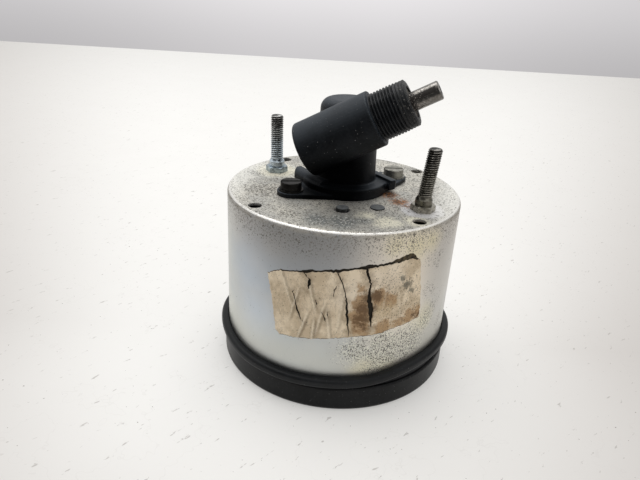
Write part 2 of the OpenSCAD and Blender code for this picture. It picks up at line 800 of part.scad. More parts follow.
// Paper label on the side of the can, skewed a little
module paper_label() {
    function corner(u, v) = let (a = (u * cos(label_skew) - v * sin(label_skew)) / can_r)
        [can_r * sin(a * 180 / PI), u * sin(label_skew) + v * cos(label_skew)];
    reach = label_len / 2;
    rise = label_w / 2;
    color([0.78, 0.7, 0.55]) rotate([0, 0, label_turn + 90]) translate([0, 0, label_mid])
        intersection() {
            tube(can_r + label_t, can_r, -reach, reach);
            rotate([90, 0, 0]) linear_extrude(height = can_r + 1) polygon([
                corner(-reach, -rise), corner(reach, -rise), corner(reach, rise),
                corner(-reach, rise)]);
        }
}

// Input shaft with a square socket for the cable's end
module input_shaft() {
    tip = nipple_end + shaft_out;
    end_r = in_shaft_d / 2;
    chamfer = 0.3;
    color(steel) on_barrel() difference() {
        union() {
            bar(in_r, -gear_w / 2, nipple_end - bush_sink);
            bar(end_r, nipple_end - bush_sink - eps, tip - chamfer);
            translate([0, 0, tip - chamfer - eps])
                cylinder(r1 = end_r, r2 = end_r - chamfer, h = chamfer + eps);
            bar(journal_r, -plug_nose - journal_len, -gear_w / 2 + eps);
        }
        translate([-cable_square / 2, -cable_square / 2, tip - cable_depth])
            cube([cable_square, cable_square, cable_depth + 1]);
    }
}

// Helical gear on the input shaft, with a tooth space towards the output gear
module input_gear() {
    color([0.85, 0.83, 0.76]) on_barrel() rotate([0, 0, 90 + 180 / gear_teeth])
        helical_gear(in_r);
}

// Output shaft with its top journal and square tang
module output_shaft() {
    color(steel) {
        bar(journal_r, gear_z + gear_w / 2 - eps, bore_top + boss_roof - 1.2);
        bar(out_r, out_bush_bottom + 0.5, gear_z + gear_w / 2);
        translate([-tang_af / 2, -tang_af / 2, tang_bottom])
            cube([tang_af, tang_af, out_bush_bottom + 0.5 - tang_bottom + eps]);
    }
}

// Helical gear on the output shaft, with a tooth towards the input gear
module output_gear() {
    color([0.85, 0.83, 0.76]) translate([0, 0, gear_z]) rotate([0, 0, -90]) helical_gear(out_r);
}

// Spindle that the square tang turns, with a neck for the magnet
module magnet_spindle() {
    socket = tang_af + 0.1;
    color(steel) difference() {
        union() {
            bar(spindle_r, field_back, spindle_top);
            bar(neck_r, neck_z, field_back + eps);
        }
        translate([-socket / 2, -socket / 2, socket_bottom])
            cube([socket, socket, spindle_top - socket_bottom + 1]);
        bar(pivot_r + run_gap, neck_z - 1, neck_z + pivot_len);
    }
}

// Ring magnet on the spindle's neck
module magnet() {
    color([0.25, 0.25, 0.27]) tube(magnet_r, neck_r + seat_gap, magnet_z, magnet_back);
}

// Soft-iron field cup that turns with the magnet round the drag cup
module field_cup() {
    color(steel) difference() {
        bar(field_r, magnet_z, field_back);
        bar(field_r - field_wall, magnet_z - 1, magnet_back);
        bar(neck_r + seat_gap, magnet_back - 1, field_back + 1);
    }
}

// Staff that carries the pointer, spring collet and drag cup
module pointer_staff() {
    color(steel) {
        bar(staff_r, cap_z + 1.2, cup_z + cup_bottom_t);
        bar(pivot_r, cup_z + cup_bottom_t - eps, neck_z + pivot_len - 0.4);
    }
}

// Aluminium drag cup in the gap between magnet and field cup
module drag_cup() {
    color([0.85, 0.85, 0.87]) difference() {
        union() {
            bar(cup_r, cup_z, magnet_back - 0.7);
            bar(staff_r + 1.4, cup_z - 1.2, cup_z + eps);
        }
        bar(cup_r - cup_wall, cup_z + cup_bottom_t, magnet_back + 1);
        bar(staff_r + seat_gap, cup_z - 2, cup_z + 2);
    }
}

// Collet for the hairspring's inner end
module spring_collet() {
    color(brass) tube(collet_r, staff_r + seat_gap, spring_z - 1.2, spring_z + 1.2);
}

// Tapered pointer
module pointer() {
    color([0.95, 0.95, 0.92]) rotate([0, 0, zero_turn]) translate([0, 0, pointer_z]) difference() {
        linear_extrude(height = pointer_t) union() {
            circle(r = cap_d / 2 - 1);
            polygon([[-pointer_tail, -pointer_w / 2], [0, -pointer_w / 2], [pointer_len - 6, -pointer_w / 2],
                     [pointer_len, -0.3], [pointer_len, 0.3], [pointer_len - 6, pointer_w / 2],
                     [0, pointer_w / 2], [-pointer_tail, pointer_w / 2]]);
        }
        bar(staff_r + seat_gap, -1, pointer_t + 1);
    }
}

// Cap over the pointer's hub
module pointer_cap() {
    color(black) difference() {
        mirror([0, 0, 1]) rounded_top(cap_d / 2, -pointer_z, -cap_z, 0.6);
        bar(staff_r + seat_gap, cap_z + 1, pointer_z + 1);
    }
}

rear_case();
bezel_ring();
rubber_ring();
glass();
glass_seal();
dial_ring();
dial_plate();
dial_screws();
stop_pins();
movement_frame();
movement_bridge();
bridge_pillars();
staff_bush();
spindle_bush();
spring_post();
hairspring();
mounting_studs();
stud_nuts();
drive_housing();
clamp_screws();
clamp_washers();
locating_pegs();
barrel_plug();
input_bush();
output_bush();
thrust_washers();
paper_label();
input_shaft();
input_gear();
output_shaft();
output_gear();
magnet_spindle();
magnet();
field_cup();
pointer_staff();
drag_cup();
spring_collet();
pointer();
pointer_cap();
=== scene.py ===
"""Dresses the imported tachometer: finishes, threads, rubber, label and dial round the fixed frame."""
import json
from functools import reduce
from math import atan2, cos, degrees, exp, hypot, pi, radians, sin, tan

import bpy
import numpy as np
from mathutils import Matrix, Vector
from mathutils.geometry import delaunay_2d_cdt


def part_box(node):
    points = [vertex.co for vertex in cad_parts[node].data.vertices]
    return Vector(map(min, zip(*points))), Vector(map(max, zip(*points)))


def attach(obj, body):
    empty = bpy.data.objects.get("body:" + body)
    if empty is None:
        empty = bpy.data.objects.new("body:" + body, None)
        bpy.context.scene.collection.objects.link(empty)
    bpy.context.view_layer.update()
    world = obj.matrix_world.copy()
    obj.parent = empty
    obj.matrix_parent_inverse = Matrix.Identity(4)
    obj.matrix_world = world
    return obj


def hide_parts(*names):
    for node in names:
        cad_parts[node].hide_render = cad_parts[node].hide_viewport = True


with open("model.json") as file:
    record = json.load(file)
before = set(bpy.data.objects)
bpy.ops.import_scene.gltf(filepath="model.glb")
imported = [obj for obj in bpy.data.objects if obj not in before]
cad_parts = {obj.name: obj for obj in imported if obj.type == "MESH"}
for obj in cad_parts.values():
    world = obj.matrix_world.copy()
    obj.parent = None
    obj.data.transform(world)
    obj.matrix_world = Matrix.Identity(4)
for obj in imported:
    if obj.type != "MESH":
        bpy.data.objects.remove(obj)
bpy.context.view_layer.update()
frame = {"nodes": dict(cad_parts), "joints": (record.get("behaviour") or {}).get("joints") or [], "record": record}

# Lengths in this script are millimetres of the part, and points become metres when a mesh is made.
MM = 0.001


def polar(radius, turn, z):
    return Vector((radius * cos(radians(turn)), radius * sin(radians(turn)), z))


def node_points(node):
    return np.array([vertex.co for vertex in frame["nodes"][node].data.vertices]) / MM


def two_boxes(node):
    """Lowest and highest corner of the two copies in a node, the one at negative X first."""
    points = node_points(node)
    return [(points[side].min(0), points[side].max(0)) for side in (points[:, 0] < 0, points[:, 0] > 0)]


# The photograph's view, with angles in degrees
CAMERA_SPOT = (26.28, -185.82, 128.66)
CAMERA_HEADING, CAMERA_DIP, CAMERA_ROLL = -10.265, 24.73, -3.365
CAMERA_LENS = 32.04

# Sizes taken from the frame
CAN_R, _, BACK_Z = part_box("rear_case")[1] / MM
BEZEL_R, _, BEZEL_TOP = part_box("bezel_ring")[1] / MM
JOINTS = {joint["name"]: joint for joint in frame["joints"]}
BARREL_SPOT = Vector(JOINTS["input_spin"]["pos_m"]) / MM
BARREL_AXIS = Vector(JOINTS["input_spin"]["axis"]).normalized()
MOUNTS = {mount["name"]: mount["dims"] for mount in frame["record"]["mounts"]}
NIPPLE_R = MOUNTS["cable_nipple"]["r_mm"]
NIPPLE_END = ((node_points("drive_housing") - np.array(BARREL_SPOT)) @ np.array(BARREL_AXIS)).max()
NIPPLE_LENGTH = 11.6
BARREL_NOSE = NIPPLE_END - NIPPLE_LENGTH
POINTER_TIP = max((v.co for v in frame["nodes"]["pointer"].data.vertices), key=lambda co: co.xy.length)
POINTER_REST = degrees(atan2(POINTER_TIP.y, POINTER_TIP.x))

# Surface angles were measured in the photograph and are given from the barrel's heading.
# The outline and the cracks run through angles and heights.
LABEL_OUTLINE = [
    (-114.2, 45.4), (-110, 47.3), (-103.8, 48.3), (-96, 49.2), (-88.2, 50.3), (-81.9, 50.8),
    (-75.8, 51.6), (-68.6, 52.3), (-59, 53.1), (-54.6, 53.3), (-49.4, 53.9), (-44.2, 52.7),
    (-43.2, 50.8), (-42.3, 46.6), (-41, 41.7), (-40, 35.4), (-39.6, 31.5), (-45.5, 31),
    (-54.5, 30.2), (-62.5, 28.9), (-75.5, 28.4), (-84.9, 27.4), (-92.3, 26.6), (-100.2, 25.7),
    (-107, 25.2), (-109.2, 26.5), (-111.3, 36)]
# Each crack is its greatest width and its line.
LABEL_CRACKS = [
    (0.75, [(-81.9, 51), (-80.3, 48.3), (-78.4, 45), (-77.2, 41.5), (-76.3, 34.7), (-75.4, 30.5),
            (-75.2, 28.2)]),
    (1.6, [(-70.3, 52.9), (-68.8, 49.6), (-67.6, 47.3), (-67.9, 43.9), (-67.5, 41.6), (-66.2, 38.6),
            (-66.2, 35.1), (-65.5, 31.2)]),
    (0.34, [(-82.9, 42.5), (-82.6, 44.8), (-81.8, 47)]),
    (0.62, [(-100.8, 42.5), (-100, 39.7), (-98.4, 35.9), (-96.6, 33), (-95, 31.6)]),
    (1, [(-96.6, 49.5), (-95, 48.9), (-93.6, 47.4), (-93.8, 45), (-94.5, 43.3)]),
    (0.4, [(-90.3, 40.7), (-89.6, 38.4)]),
    (0.44, [(-87.6, 36.8), (-86.2, 34.4), (-85.3, 33)]),
    (0.32, [(-85.3, 37.1), (-84.6, 34.8)])]
# Each fold is the angle and height of its middle, its lean in degrees and its height off the can, which also sets
# the strength of its painted shade and highlight.
LABEL_FOLDS = [
    (-100, 38, 14, 0.42), (-96, 30, 16, 0.5), (-92, 42, -14, 0.4), (-88, 34, 12, 0.44),
    (-84, 31, -8, 0.36), (-91, 28, 4, 0.5), (-104, 43, -20, 0.36), (-79.5, 36, 6, 0.3),
    (-60, 42, 5, 0.22), (-52, 38, -10, 0.2)]
PAPER_LIFT = 0.16
PAPER_THICKNESS = 0.1
# How far the old glue shows above the paper, and how high the rubber ring stands, by angle
GLUE_RISE = [
    (-115, 0.15), (-105, 0.3), (-98, 0.4), (-94, 0.95), (-90, 0.4), (-84, 0.8), (-79, 0.75),
    (-74, 0.5), (-69, 1.15), (-64, 0.6), (-59, 0.75), (-55, 1.5), (-50, 1.85), (-47, 1.5), (-45, 0.1)]
RUBBER_TOP = [
    (-200, 12.4), (-170, 13.9), (-150, 13.9), (-130, 12.4), (-100, 12.4), (-82, 12.9), (-67, 13.2),
    (-59, 14), (-50, 15.05), (-42, 15.8), (-32, 15.9), (-14, 15.9), (8, 15.2), (40, 12.6), (140, 12.3)]
# Each stud's lean and the angle that it leans towards, the one at negative X first
STUD_BENDS = ((0.9, 180.0), (5.6, -20.0))
SHOULDER_HEIGHT = 2.8
STUD_PITCH = 0.75
STUD_START = two_boxes("stud_nuts")[0][1][2] + SHOULDER_HEIGHT
# The studio's dark side lies in front of the object, turned this far from -Y towards -X.
FRONT_TURN = 22
# From this distance before the camera on, the painted pool of light on the table widens.
POOL_DEPTH = 190


# Camera and lamp

def new_object(name, data):
    made = bpy.data.objects.new(name, data)
    bpy.context.scene.collection.objects.link(made)
    return made


def make_camera():
    heading, dip, roll = (radians(a) for a in (CAMERA_HEADING, CAMERA_DIP, CAMERA_ROLL))
    forward = Vector((cos(dip) * sin(heading), cos(dip) * cos(heading), -sin(dip)))
    level = forward.cross(Vector((0, 0, 1))).normalized()
    down = forward.cross(level)
    right = cos(roll) * level + sin(roll) * down
    lower = -sin(roll) * level + cos(roll) * down
    data = bpy.data.cameras.new("camera")
    data.lens = CAMERA_LENS
    data.sensor_width = 36
    data.clip_start = 0.01
    camera = new_object("camera", data)
    camera.matrix_world = Matrix((right, -lower, -forward)).transposed().to_4x4()
    camera.location = Vector(CAMERA_SPOT) * MM
    bpy.context.scene.camera = camera


def make_lamp():
    """A soft lamp above and behind the object, with its places and size in metres."""
    data = bpy.data.lights.new("key", "AREA")
    data.shape = "RECTANGLE"
    data.size, data.size_y = 0.8, 0.6
    data.energy = 3.3
    lamp = new_object("key", data)
    lamp.location = (-0.15, 0.25, 0.85)
    aim = Vector((0, 0, 0.03)) - lamp.location
    lamp.rotation_euler = aim.to_track_quat("-Z", "Y").to_euler()


# Node trees

def arithmetic(operation):
    """A method that takes its values through one kind of arithmetic in turn."""
    return lambda self, *values: reduce(lambda a, b: self.math(operation, a, b), values)


class Tree:
    """Builds up a node tree. An input takes a number, a colour, a vector or another node's output."""
    plus, minus, times, over, most = map(arithmetic, ("ADD", "SUBTRACT", "MULTIPLY", "DIVIDE", "MAXIMUM"))

    def __init__(self, tree):
        self.nodes, self.links = tree.nodes, tree.links

    def feed(self, socket, value):
        if isinstance(value, bpy.types.NodeSocket):
            self.links.new(value, socket)
        elif socket.type == "RGBA":
            socket.default_value = (*value, 1)
        else:
            socket.default_value = value

    def node(self, kind, inputs, output=0, **settings):
        made = self.nodes.new("ShaderNode" + kind)
        for name, value in settings.items():
            setattr(made, name, value)
        for key, value in inputs.items():
            self.feed(made.inputs[key], value)
        return made.outputs[output]

    def ray(self, kind):
        return self.node("LightPath", {}, f"Is {kind} Ray")

    def math(self, operation, first, second=0.0):
        return self.node("Math", {0: first, 1: second}, operation=operation)

    def off(self, value, middle):
        """How far a value lies from a middle one, to either side."""
        return self.math("ABSOLUTE", self.minus(value, middle))

    def vector(self, operation, first, second=(0, 0, 0)):
        """Vector arithmetic, in which a length, a distance or a dot product comes out as a number."""
        output = int(operation in ("LENGTH", "DISTANCE", "DOT_PRODUCT"))
        return self.node("VectorMath", {0: first, 1: second}, output, operation=operation)

    def scaled(self, value, factor):
        return self.node("VectorMath", {0: value, 3: factor}, operation="SCALE")

    def step(self, value, low, high, first=0.0, last=1.0):
        """Smooth change from a first number to a last one as the value goes from low to high."""
        return self.node("MapRange", {
            "Value": value, "From Min": low, "From Max": high, "To Min": first, "To Max": last},
            interpolation_type="SMOOTHSTEP")

    def blend(self, share, first, second, **settings):
        return self.node("Mix", {0: share, 6: first, 7: second}, 2, data_type="RGBA", **settings)

    def number(self, share, first, second):
        return self.node("Mix", {0: share, 2: first, 3: second}, data_type="FLOAT")

    def layers(self, colour, *coats):
        """A colour under coats that are laid on in turn. Each coat is a mask, its share and a colour."""
        for mask, share, coat in coats:
            colour = self.blend(self.times(mask, share), colour, coat)
        return colour


class Finish(Tree):
    """A material under construction. Pattern sizes are millimetres of the part."""

    def __init__(self, name):
        self.material = bpy.data.materials.new(name)
        self.material.use_nodes = True
        super().__init__(self.material.node_tree)
        self.shader = self.nodes["Principled BSDF"]
        self.place = self.scaled(self.node("TexCoord", {}, "Object"), 1 / MM)

    def noise(self, size, detail=3, rough=0.55, stretch=(1, 1, 1), place=None, output=0):
        grown = self.vector("MULTIPLY", place or self.place, stretch)
        return self.node("TexNoise", {
            "Vector": grown, "Scale": 1 / size, "Detail": detail, "Roughness": rough}, output)

    def cloud(self, size, low, high, detail=3, rough=0.55, **settings):
        """Soft-edged patches: a noise that changes from 0 to 1 between two of its levels."""
        return self.step(self.noise(size, detail, rough, **settings), low, high)

    def warped(self, amount, size):
        """The surface place, moved about by a soft noise."""
        shift = self.noise(size, 4, 0.65, output=1)
        centred = self.vector("SUBTRACT", shift, (0.5, 0.5, 0.5))
        return self.vector("ADD", self.place, self.scaled(centred, amount))

    def shifted(self, *offset):
        """The surface place moved on, so that two patterns of one size differ."""
        return self.vector("ADD", self.place, offset)

    def spot(self, centre, radius, soft, place=None):
        """1 inside a ball round a point of the part, 0 outside it."""
        away = self.vector("DISTANCE", place or self.place, centre)
        return self.step(away, radius + soft, radius - soft)

    def spots(self, centres, soft, place=None):
        """The union of several spots, each a centre and a radius."""
        return self.most(*[self.spot(centre, radius, soft, place) for centre, radius in centres])

    def axis(self, name):
        return self.node("SeparateXYZ", {0: self.place}, name)

    def fade(self, name, low, high):
        """Smooth change from 0 to 1 along the X, Y or Z axis."""
        return self.step(self.axis(name), low, high)

    def along(self, axis, spot=(0, 0, 0)):
        """Distance along an axis from a point of the part."""
        return self.vector("DOT_PRODUCT", self.vector("SUBTRACT", self.place, spot), axis)

    def upward(self, low, high):
        """1 where the surface faces up."""
        return self.step(self.node("SeparateXYZ", {0: self.node("TexCoord", {}, "Normal")}, "Z"), low, high)

    def grains(self, size, share, place=None, soft=0.03):
        """Fine grains, few where the share is 0 and crowded where it is 1."""
        fine = self.noise(size, 2, 0.6, place=place)
        return self.step(self.minus(fine, self.number(share, 0.72, 0.47)), 0, soft)

    def finish(self, colour, roughness, metallic=0.0, bumps=(), **constants):
        """Connects the shader. Each bump is a height, its depth in millimetres and a strength."""
        inputs = {"Base Color": colour, "Roughness": roughness, "Metallic": metallic}
        normal = {}
        for height, depth, strength in bumps:
            bump = {"Height": height, "Distance": depth * MM, "Strength": strength}
            normal = {"Normal": self.node("Bump", bump | normal)}
        inputs |= normal | {name.replace("_", " "): value for name, value in constants.items()}
        for name, value in inputs.items():
            self.feed(self.shader.inputs[name], value)
        return self.material


# World and table

def make_world():
    """A pale studio: light from above and the sides, a dark room behind the camera, a grey wall in view."""
    world = bpy.data.worlds.new("studio")
    world.use_nodes = True
    bpy.context.scene.world = world
    sky = Tree(world.node_tree)
    direction = sky.node("TexCoord", {}, "Generated")
    across, rise = (sky.node("SeparateXYZ", {0: direction}, name) for name in "XZ")

    def towards(turn):
        """1 straight towards a heading, given as an angle from +X."""
        return sky.vector("DOT_PRODUCT", direction, polar(1, turn, 0))

    light = sky.times(
        sky.step(rise, 0.0, 0.9, 0.6, 0.9),
        sky.step(towards(90 - FRONT_TURN), -0.94, -0.45, 0.1, 1.0),
        sky.step(across, -0.35, -0.95, 1.0, 1.2),
        sky.step(towards(20), 0.72, 0.98, 1.0, 0.6),
        sky.step(towards(-40), 0.72, 0.98, 1.0, 1.45),
        sky.step(rise, -0.35, -0.05, 0.25, 1.0))
    wall = sky.times(sky.step(rise, -0.14, 0.03, 0.7, 1.0),
                     sky.step(sky.off(across, -0.18), 0.05, 0.55, 0.88, 0.66))
    grey = sky.node("CombineColor", {0: wall, 1: wall, 2: wall})
    tinted = sky.blend(1.0, grey, (1.0, 0.975, 0.99), blend_type="MULTIPLY")
    seen = sky.most(sky.ray("Camera"), sky.ray("Transmission"))
    background = sky.nodes["Background"].inputs
    sky.feed(background["Color"], sky.blend(seen, (1.0, 0.995, 0.985), tinted))
    sky.feed(background["Strength"], sky.number(seen, light, 1.0))


def make_floor():
    """A white table top that ends level across the view, with a painted pool of light that widens behind the
    object.
    """
    far_edge, near_edge, half_width, sunk = 1.02, -2.5, 3.0, 0.0001
    heading = radians(CAMERA_HEADING)
    forward = Vector((sin(heading), cos(heading), 0))
    right = Vector((forward.y, -forward.x, 0))
    foot = Vector((*CAMERA_SPOT[:2], 0)) * MM
    corners = [foot + forward * f + right * r for f, r in (
        (near_edge, -half_width), (near_edge, half_width), (far_edge, half_width), (far_edge, -half_width))]
    mesh = bpy.data.meshes.new("table")
    mesh.from_pydata([(c.x, c.y, -sunk) for c in corners], [], [(0, 1, 2, 3)])
    table = new_object("table", mesh)

    look = Finish("table_white")
    depth = look.along(forward, foot / MM)
    aside = look.along(right, foot / MM - right * 8)
    short = look.times(look.math("MINIMUM", look.minus(depth, POOL_DEPTH)), 0.9)
    away = look.vector("LENGTH", look.node("CombineXYZ", {0: aside, 1: short}))
    painted_pool_spread = look.over(away, look.most(depth, POOL_DEPTH))
    drawn_out = look.node("CombineXYZ", {
        0: look.times(look.along(polar(1, 58, 0)), 0.32), 1: look.along(polar(1, 148, 0))})
    line = look.step(look.off(look.noise(60, 5, 0.6), 0.5), 0.0025, 0)
    # Painted shade seen only in reflections: the table in front of the object is darker for glossy rays.
    front = look.step(look.vector("DOT_PRODUCT", look.place, polar(1, 90 - FRONT_TURN, 0)), -75, -210)
    colour = look.layers(
        # Painted pool of light: near white inside the pool, greyer outside it.
        look.blend(look.step(painted_pool_spread, 0.24, 0.8), (0.99, 0.98, 0.955), (0.65, 0.62, 0.595)),
        (look.noise(30, 4), 0.08, (0.6, 0.56, 0.52)),
        (look.cloud(2, 0.65, 0.705, rough=0.65, place=drawn_out), 0.55, (0.4, 0.37, 0.34)),
        (look.cloud(1.1, 0.735, 0.77, 2, place=look.shifted(40, 9, 0)), 1, (0.2, 0.17, 0.15)),
        (line, 0.1, (0.5, 0.47, 0.44)),
        (front, look.ray("Glossy"), (0.1, 0.1, 0.1)))
    shown = look.most(look.ray("Camera"), look.ray("Glossy"), look.ray("Transmission"))
    base = look.layers(colour, (shown, 0.44, (0, 0, 0)))
    look.feed(look.shader.inputs["Emission Color"], colour)
    look.feed(look.shader.inputs["Emission Strength"], look.times(shown, 0.38))
    grain = look.noise(0.6, 5)
    mesh.materials.append(look.finish(base, 0.7, bumps=[(grain, 0.03, 0.3)], Specular_IOR_Level=0.1))


# Mesh making

def make_piece(name, points, faces, material, nodes=(), crease=35):
    """A mesh piece in millimetres that rides on the case and may stand for CAD nodes."""
    mesh = bpy.data.meshes.new(name)
    mesh.from_pydata((np.asarray(points, float) * MM).tolist(), [], faces)
    mesh.polygons.foreach_set("use_smooth", [True] * len(mesh.polygons))
    mesh.set_sharp_from_angle(angle=radians(crease))
    mesh.validate()
    piece = new_object(name, mesh)
    mesh.materials.append(material)
    if nodes:
        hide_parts(*nodes)
    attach(piece, "case")
    return piece


def rows_to_faces(rows, columns, loop=False):
    """Quads between rows of points that each run once round. A loop also joins the last row to the first."""
    faces = []
    for row in range(rows if loop else rows - 1):
        below, above = row * columns, (row + 1) % rows * columns
        for column in range(columns):
            after = (column + 1) % columns
            faces.append((below + column, below + after, above + after, above + column))
    return faces


def turned_points(rows, columns):
    """Points of a turned form. Each row is a height and a radius, which may be a function of the angle."""
    angles = np.linspace(0, 2 * pi, columns, endpoint=False)
    points = []
    for height, radius in rows:
        r = radius(angles) if callable(radius) else np.full(columns, float(radius))
        points.append(np.stack([r * np.cos(angles), r * np.sin(angles), np.full(columns, height)], 1))
    return np.concatenate(points)


def thread_rows(crest, root, pitch, start, end, steps=8, runout=0.6, tip=0.0):
    """Rows of a helical V thread that fades in at its start and is chamfered at its end."""
    rows = []
    for z in np.arange(start, end, pitch / steps):
        def radius(angles, z=z):
            phase = (z / pitch - angles / (2 * pi)) % 1
            ridge = np.clip(1.25 - 2.5 * np.abs(phase - 0.5), 0, 1)
            depth = (crest - root) * min(1, (z - start) / (runout * pitch))
            return np.minimum(crest - depth * (1 - ridge), crest - max(0.0, tip - (end - z)))
        rows.append((z, radius))
    return rows


# Finishes of the case

def stud_places():
    """The two stud axes on the can's back, the one at negative X first."""
    return [Vector(((low[0] + high[0]) / 2, (low[1] + high[1]) / 2, BACK_Z))
            for low, high in two_boxes("mounting_studs")]


def on_side(*places):
    """Spots on the can's side, each an angle, a height and a radius."""
    return [(polar(CAN_R, turn, z), radius) for turn, z, radius in places]


def on_back(*places):
    """Spots on the can's back, each a place in X and Y and a radius."""
    return [(Vector((x, y, BACK_Z)), radius) for x, y, radius in places]


def can_side(look, warp):
    """Bluish zinc on the can's side, warmer to the right, with yellow passivated patches, and lighter towards the
    bottom and the left as painted reflections of the white floor and studio.
    """
    edge = look.fade("X", 27, 37)
    right = look.times(look.fade("X", 4, 25), look.fade("Z", -10, 35), look.number(edge, 0.95, 0.35))
    blue = look.spots(on_side((-126, 44, 9), (-122, 30, 7)), 9)
    foot = look.times(look.fade("X", 4, 20), look.fade("Z", 34, 16))
    behind = look.times(look.fade("Y", -12, 6), look.cloud(20, 0.5, 0.68, 5, 0.6), 0.8)
    yellow = look.spots(on_side((-47, 57, 5), (-38, 58, 3.5), (-57, 59, 3), (-66, 15, 4.5), (-57, 14, 4.5),
                                (-36, 30, 4)), 3.5, warp)
    return look.layers(
        look.blend(look.cloud(22, 0.35, 0.65, 2), (0.49, 0.53, 0.57), (0.56, 0.57, 0.57)),
        (look.fade("Z", BACK_Z - 22, BACK_Z - 4), 0.6, (0.53, 0.51, 0.485)),
        # Lighter towards the bottom: painted reflection of the white floor.
        (look.fade("Z", 34, 18), 0.8, (0.6, 0.605, 0.56)),
        (right, 1, (0.93, 0.86, 0.74)),
        (edge, 0.3, (0.42, 0.41, 0.38)),
        (blue, 0.6, (0.57, 0.63, 0.7)),
        (foot, 0.45, (0.38, 0.38, 0.345)),
        # Lighter to the left: painted reflection of the white studio.
        (look.fade("X", -24, -38), 0.5, (0.58, 0.59, 0.54)),
        (look.most(yellow, behind), 0.65, (0.8, 0.74, 0.5)))


def can_back(look, warp, loose):
    """The back face: beige-grey, cream, dark and whitish patches, and rust by the right stud."""
    left_stud, right_stud = stud_places()
    cream = look.spots([(left_stud, 7.4), *on_back((17.5, -27.5, 4.2), (26, -23, 3.6), (11, -24, 2.5))],
                       2.2, warp)
    halo = look.minus(look.spot(left_stud, 9, 0.9, loose), look.spot(left_stud, 7.4, 0.6, loose))
    sparkle = look.spots(on_back((4.5, -31, 5.2), (-2.5, -32, 4.2), (10, -28.5, 2.6)), 2.6, warp)
    pale = look.spot(right_stud, 7.2, 0.9, loose)
    bright = look.step(look.math("ABSOLUTE", look.axis("X")), 27, 38)
    rust = look.times(look.spots(on_back((15.5, -3, 3.2), (19.8, -8.5, 3), (22.5, -11.5, 1.6)), 2, loose),
                      look.cloud(1.8, 0.37, 0.47, 5, 0.7))
    colour = look.layers(
        look.blend(look.cloud(9, 0.35, 0.65, 4), (0.62, 0.595, 0.53), (0.475, 0.465, 0.43)),
        (cream, 0.85, (0.88, 0.84, 0.68)),
        (halo, 0.45, (0.82, 0.82, 0.74)),
        (sparkle, 0.85, (0.17, 0.185, 0.185)),
        (pale, 0.85, (0.74, 0.73, 0.74)),
        (bright, 0.75, (0.88, 0.87, 0.82)),
        (rust, 1, look.blend(look.cloud(1, 0.4, 0.6), (0.5, 0.19, 0.055), (0.13, 0.065, 0.035))))
    clean = look.most(pale, look.times(look.most(cream, bright), 0.75))
    return colour, sparkle, clean, rust


def can_dirt(look, warp):
    """Where dark grains crowd on the can, and the corroded patches of mixed grains on its side."""
    behind = look.times(look.fade("Y", 5, 25), look.cloud(13, 0.6, 0.74, 5, 0.65))
    patches = look.spots(on_side((-57, 22, 8.5), (-71, 23, 6), (-45, 23, 8), (-62, 14, 5.5), (-34, 29, 4.5)),
                         5, warp)
    trail = look.spots(on_side((-48, 58, 3), (-42, 55, 3), (-36, 52, 3), (-20, 24, 3.5), (-34, 40, 4),
                               (-31, 50, 3.5), (-29, 33, 4), (-68, 26.5, 2), (-59, 27, 2.5), (-50, 28, 2.5)),
                       3.5, warp)
    band = look.times(look.fade("Z", BACK_Z - 17, BACK_Z - 2), look.number(look.noise(12), 0.45, 1.05))
    back = look.times(look.fade("Z", BACK_Z - 0.6, BACK_Z - 0.2), look.number(look.noise(10), 0.5, 1.0))
    crowd = look.spots(on_back((-26, -13, 8), (-32, 4, 5), (-12, -30, 5), (20, -14, 3)), 6, warp)
    dirt = look.most(look.times(trail, 0.75), band, back, look.times(crowd, 1.2))
    return dirt, look.most(patches, behind)


def can_finish():
    """Zinc-plated steel: bluish satin side, specked beige back, a worn rim painted bright as a highlight, rust and
    stains.
    """
    look = Finish("can_steel")
    warp = look.warped(5, 6)
    loose = look.warped(2, 3)
    back, sparkle, clean, rust = can_back(look, warp, loose)
    dirt, patches = can_dirt(look, warp)

    def level(low, high):
        """Smooth change with the height from the can's back."""
        return look.fade("Z", BACK_Z + low, BACK_Z + high)

    on_top = level(-0.5, -0.1)
    clean = look.times(clean, on_top)
    fine = look.times(look.grains(0.46, dirt, soft=0.08), look.number(clean, 1.0, 0.35))
    dark_spots = look.times(look.grains(0.85, look.times(dirt, 0.55)), 0.8)
    chips = look.grains(0.5, look.times(patches, 0.95), look.shifted(3.1, 7.7, 5.3))
    pits = look.times(look.grains(0.42, look.times(patches, 0.85), soft=0.06), 0.8)
    glints = look.times(look.cloud(0.6, 0.585, 0.64, 1, place=look.shifted(9, 2, 0)), sparkle)
    # A thin band round the rim: worn metal, and a painted highlight.
    worn = look.times(level(-0.58, -0.44), level(-0.05, -0.18), look.cloud(6, 0.22, 0.38))
    below = look.times(level(-2.4, -0.9), level(-0.5, -0.68), look.cloud(4, 0.25, 0.6, 5, place=warp))
    colour = look.layers(
        look.blend(on_top, can_side(look, warp), back),
        (fine, 0.85, look.blend(on_top, (0.2, 0.18, 0.155), (0.12, 0.11, 0.095))),
        (dark_spots, 1, (0.1, 0.09, 0.075)),
        (patches, 0.4, (0.5, 0.5, 0.475)),
        (chips, 0.5, (0.88, 0.87, 0.74)),
        (pits, 1, (0.07, 0.066, 0.058)),
        (glints, 0.8, (0.85, 0.84, 0.78)),
        (worn, 0.8, (0.92, 0.9, 0.86)),
        (below, 0.6, (0.3, 0.27, 0.22)),
        (look.fade("Z", BEZEL_TOP + 7.5, BEZEL_TOP + 3), 0.45, (0.3, 0.31, 0.33)))

    marred = look.most(rust, fine, pits, below, dark_spots)
    rough = look.number(look.noise(3, 5), 0.3, 0.44)
    for mask, value in ((on_top, 0.52), (worn, 0.14), (marred, 0.8)):
        rough = look.number(mask, rough, value)
    metal = look.number(look.most(look.times(marred, 0.85), clean), 0.95, 0.12)
    metal = look.times(metal, look.number(on_top, 1.0, 0.55))
    return look.finish(colour, rough, metal, bumps=[
        (look.noise(14, 1), 0.12, 0.35), (look.noise(0.35), 0.012, 0.5), (marred, -0.03, 0.5)])


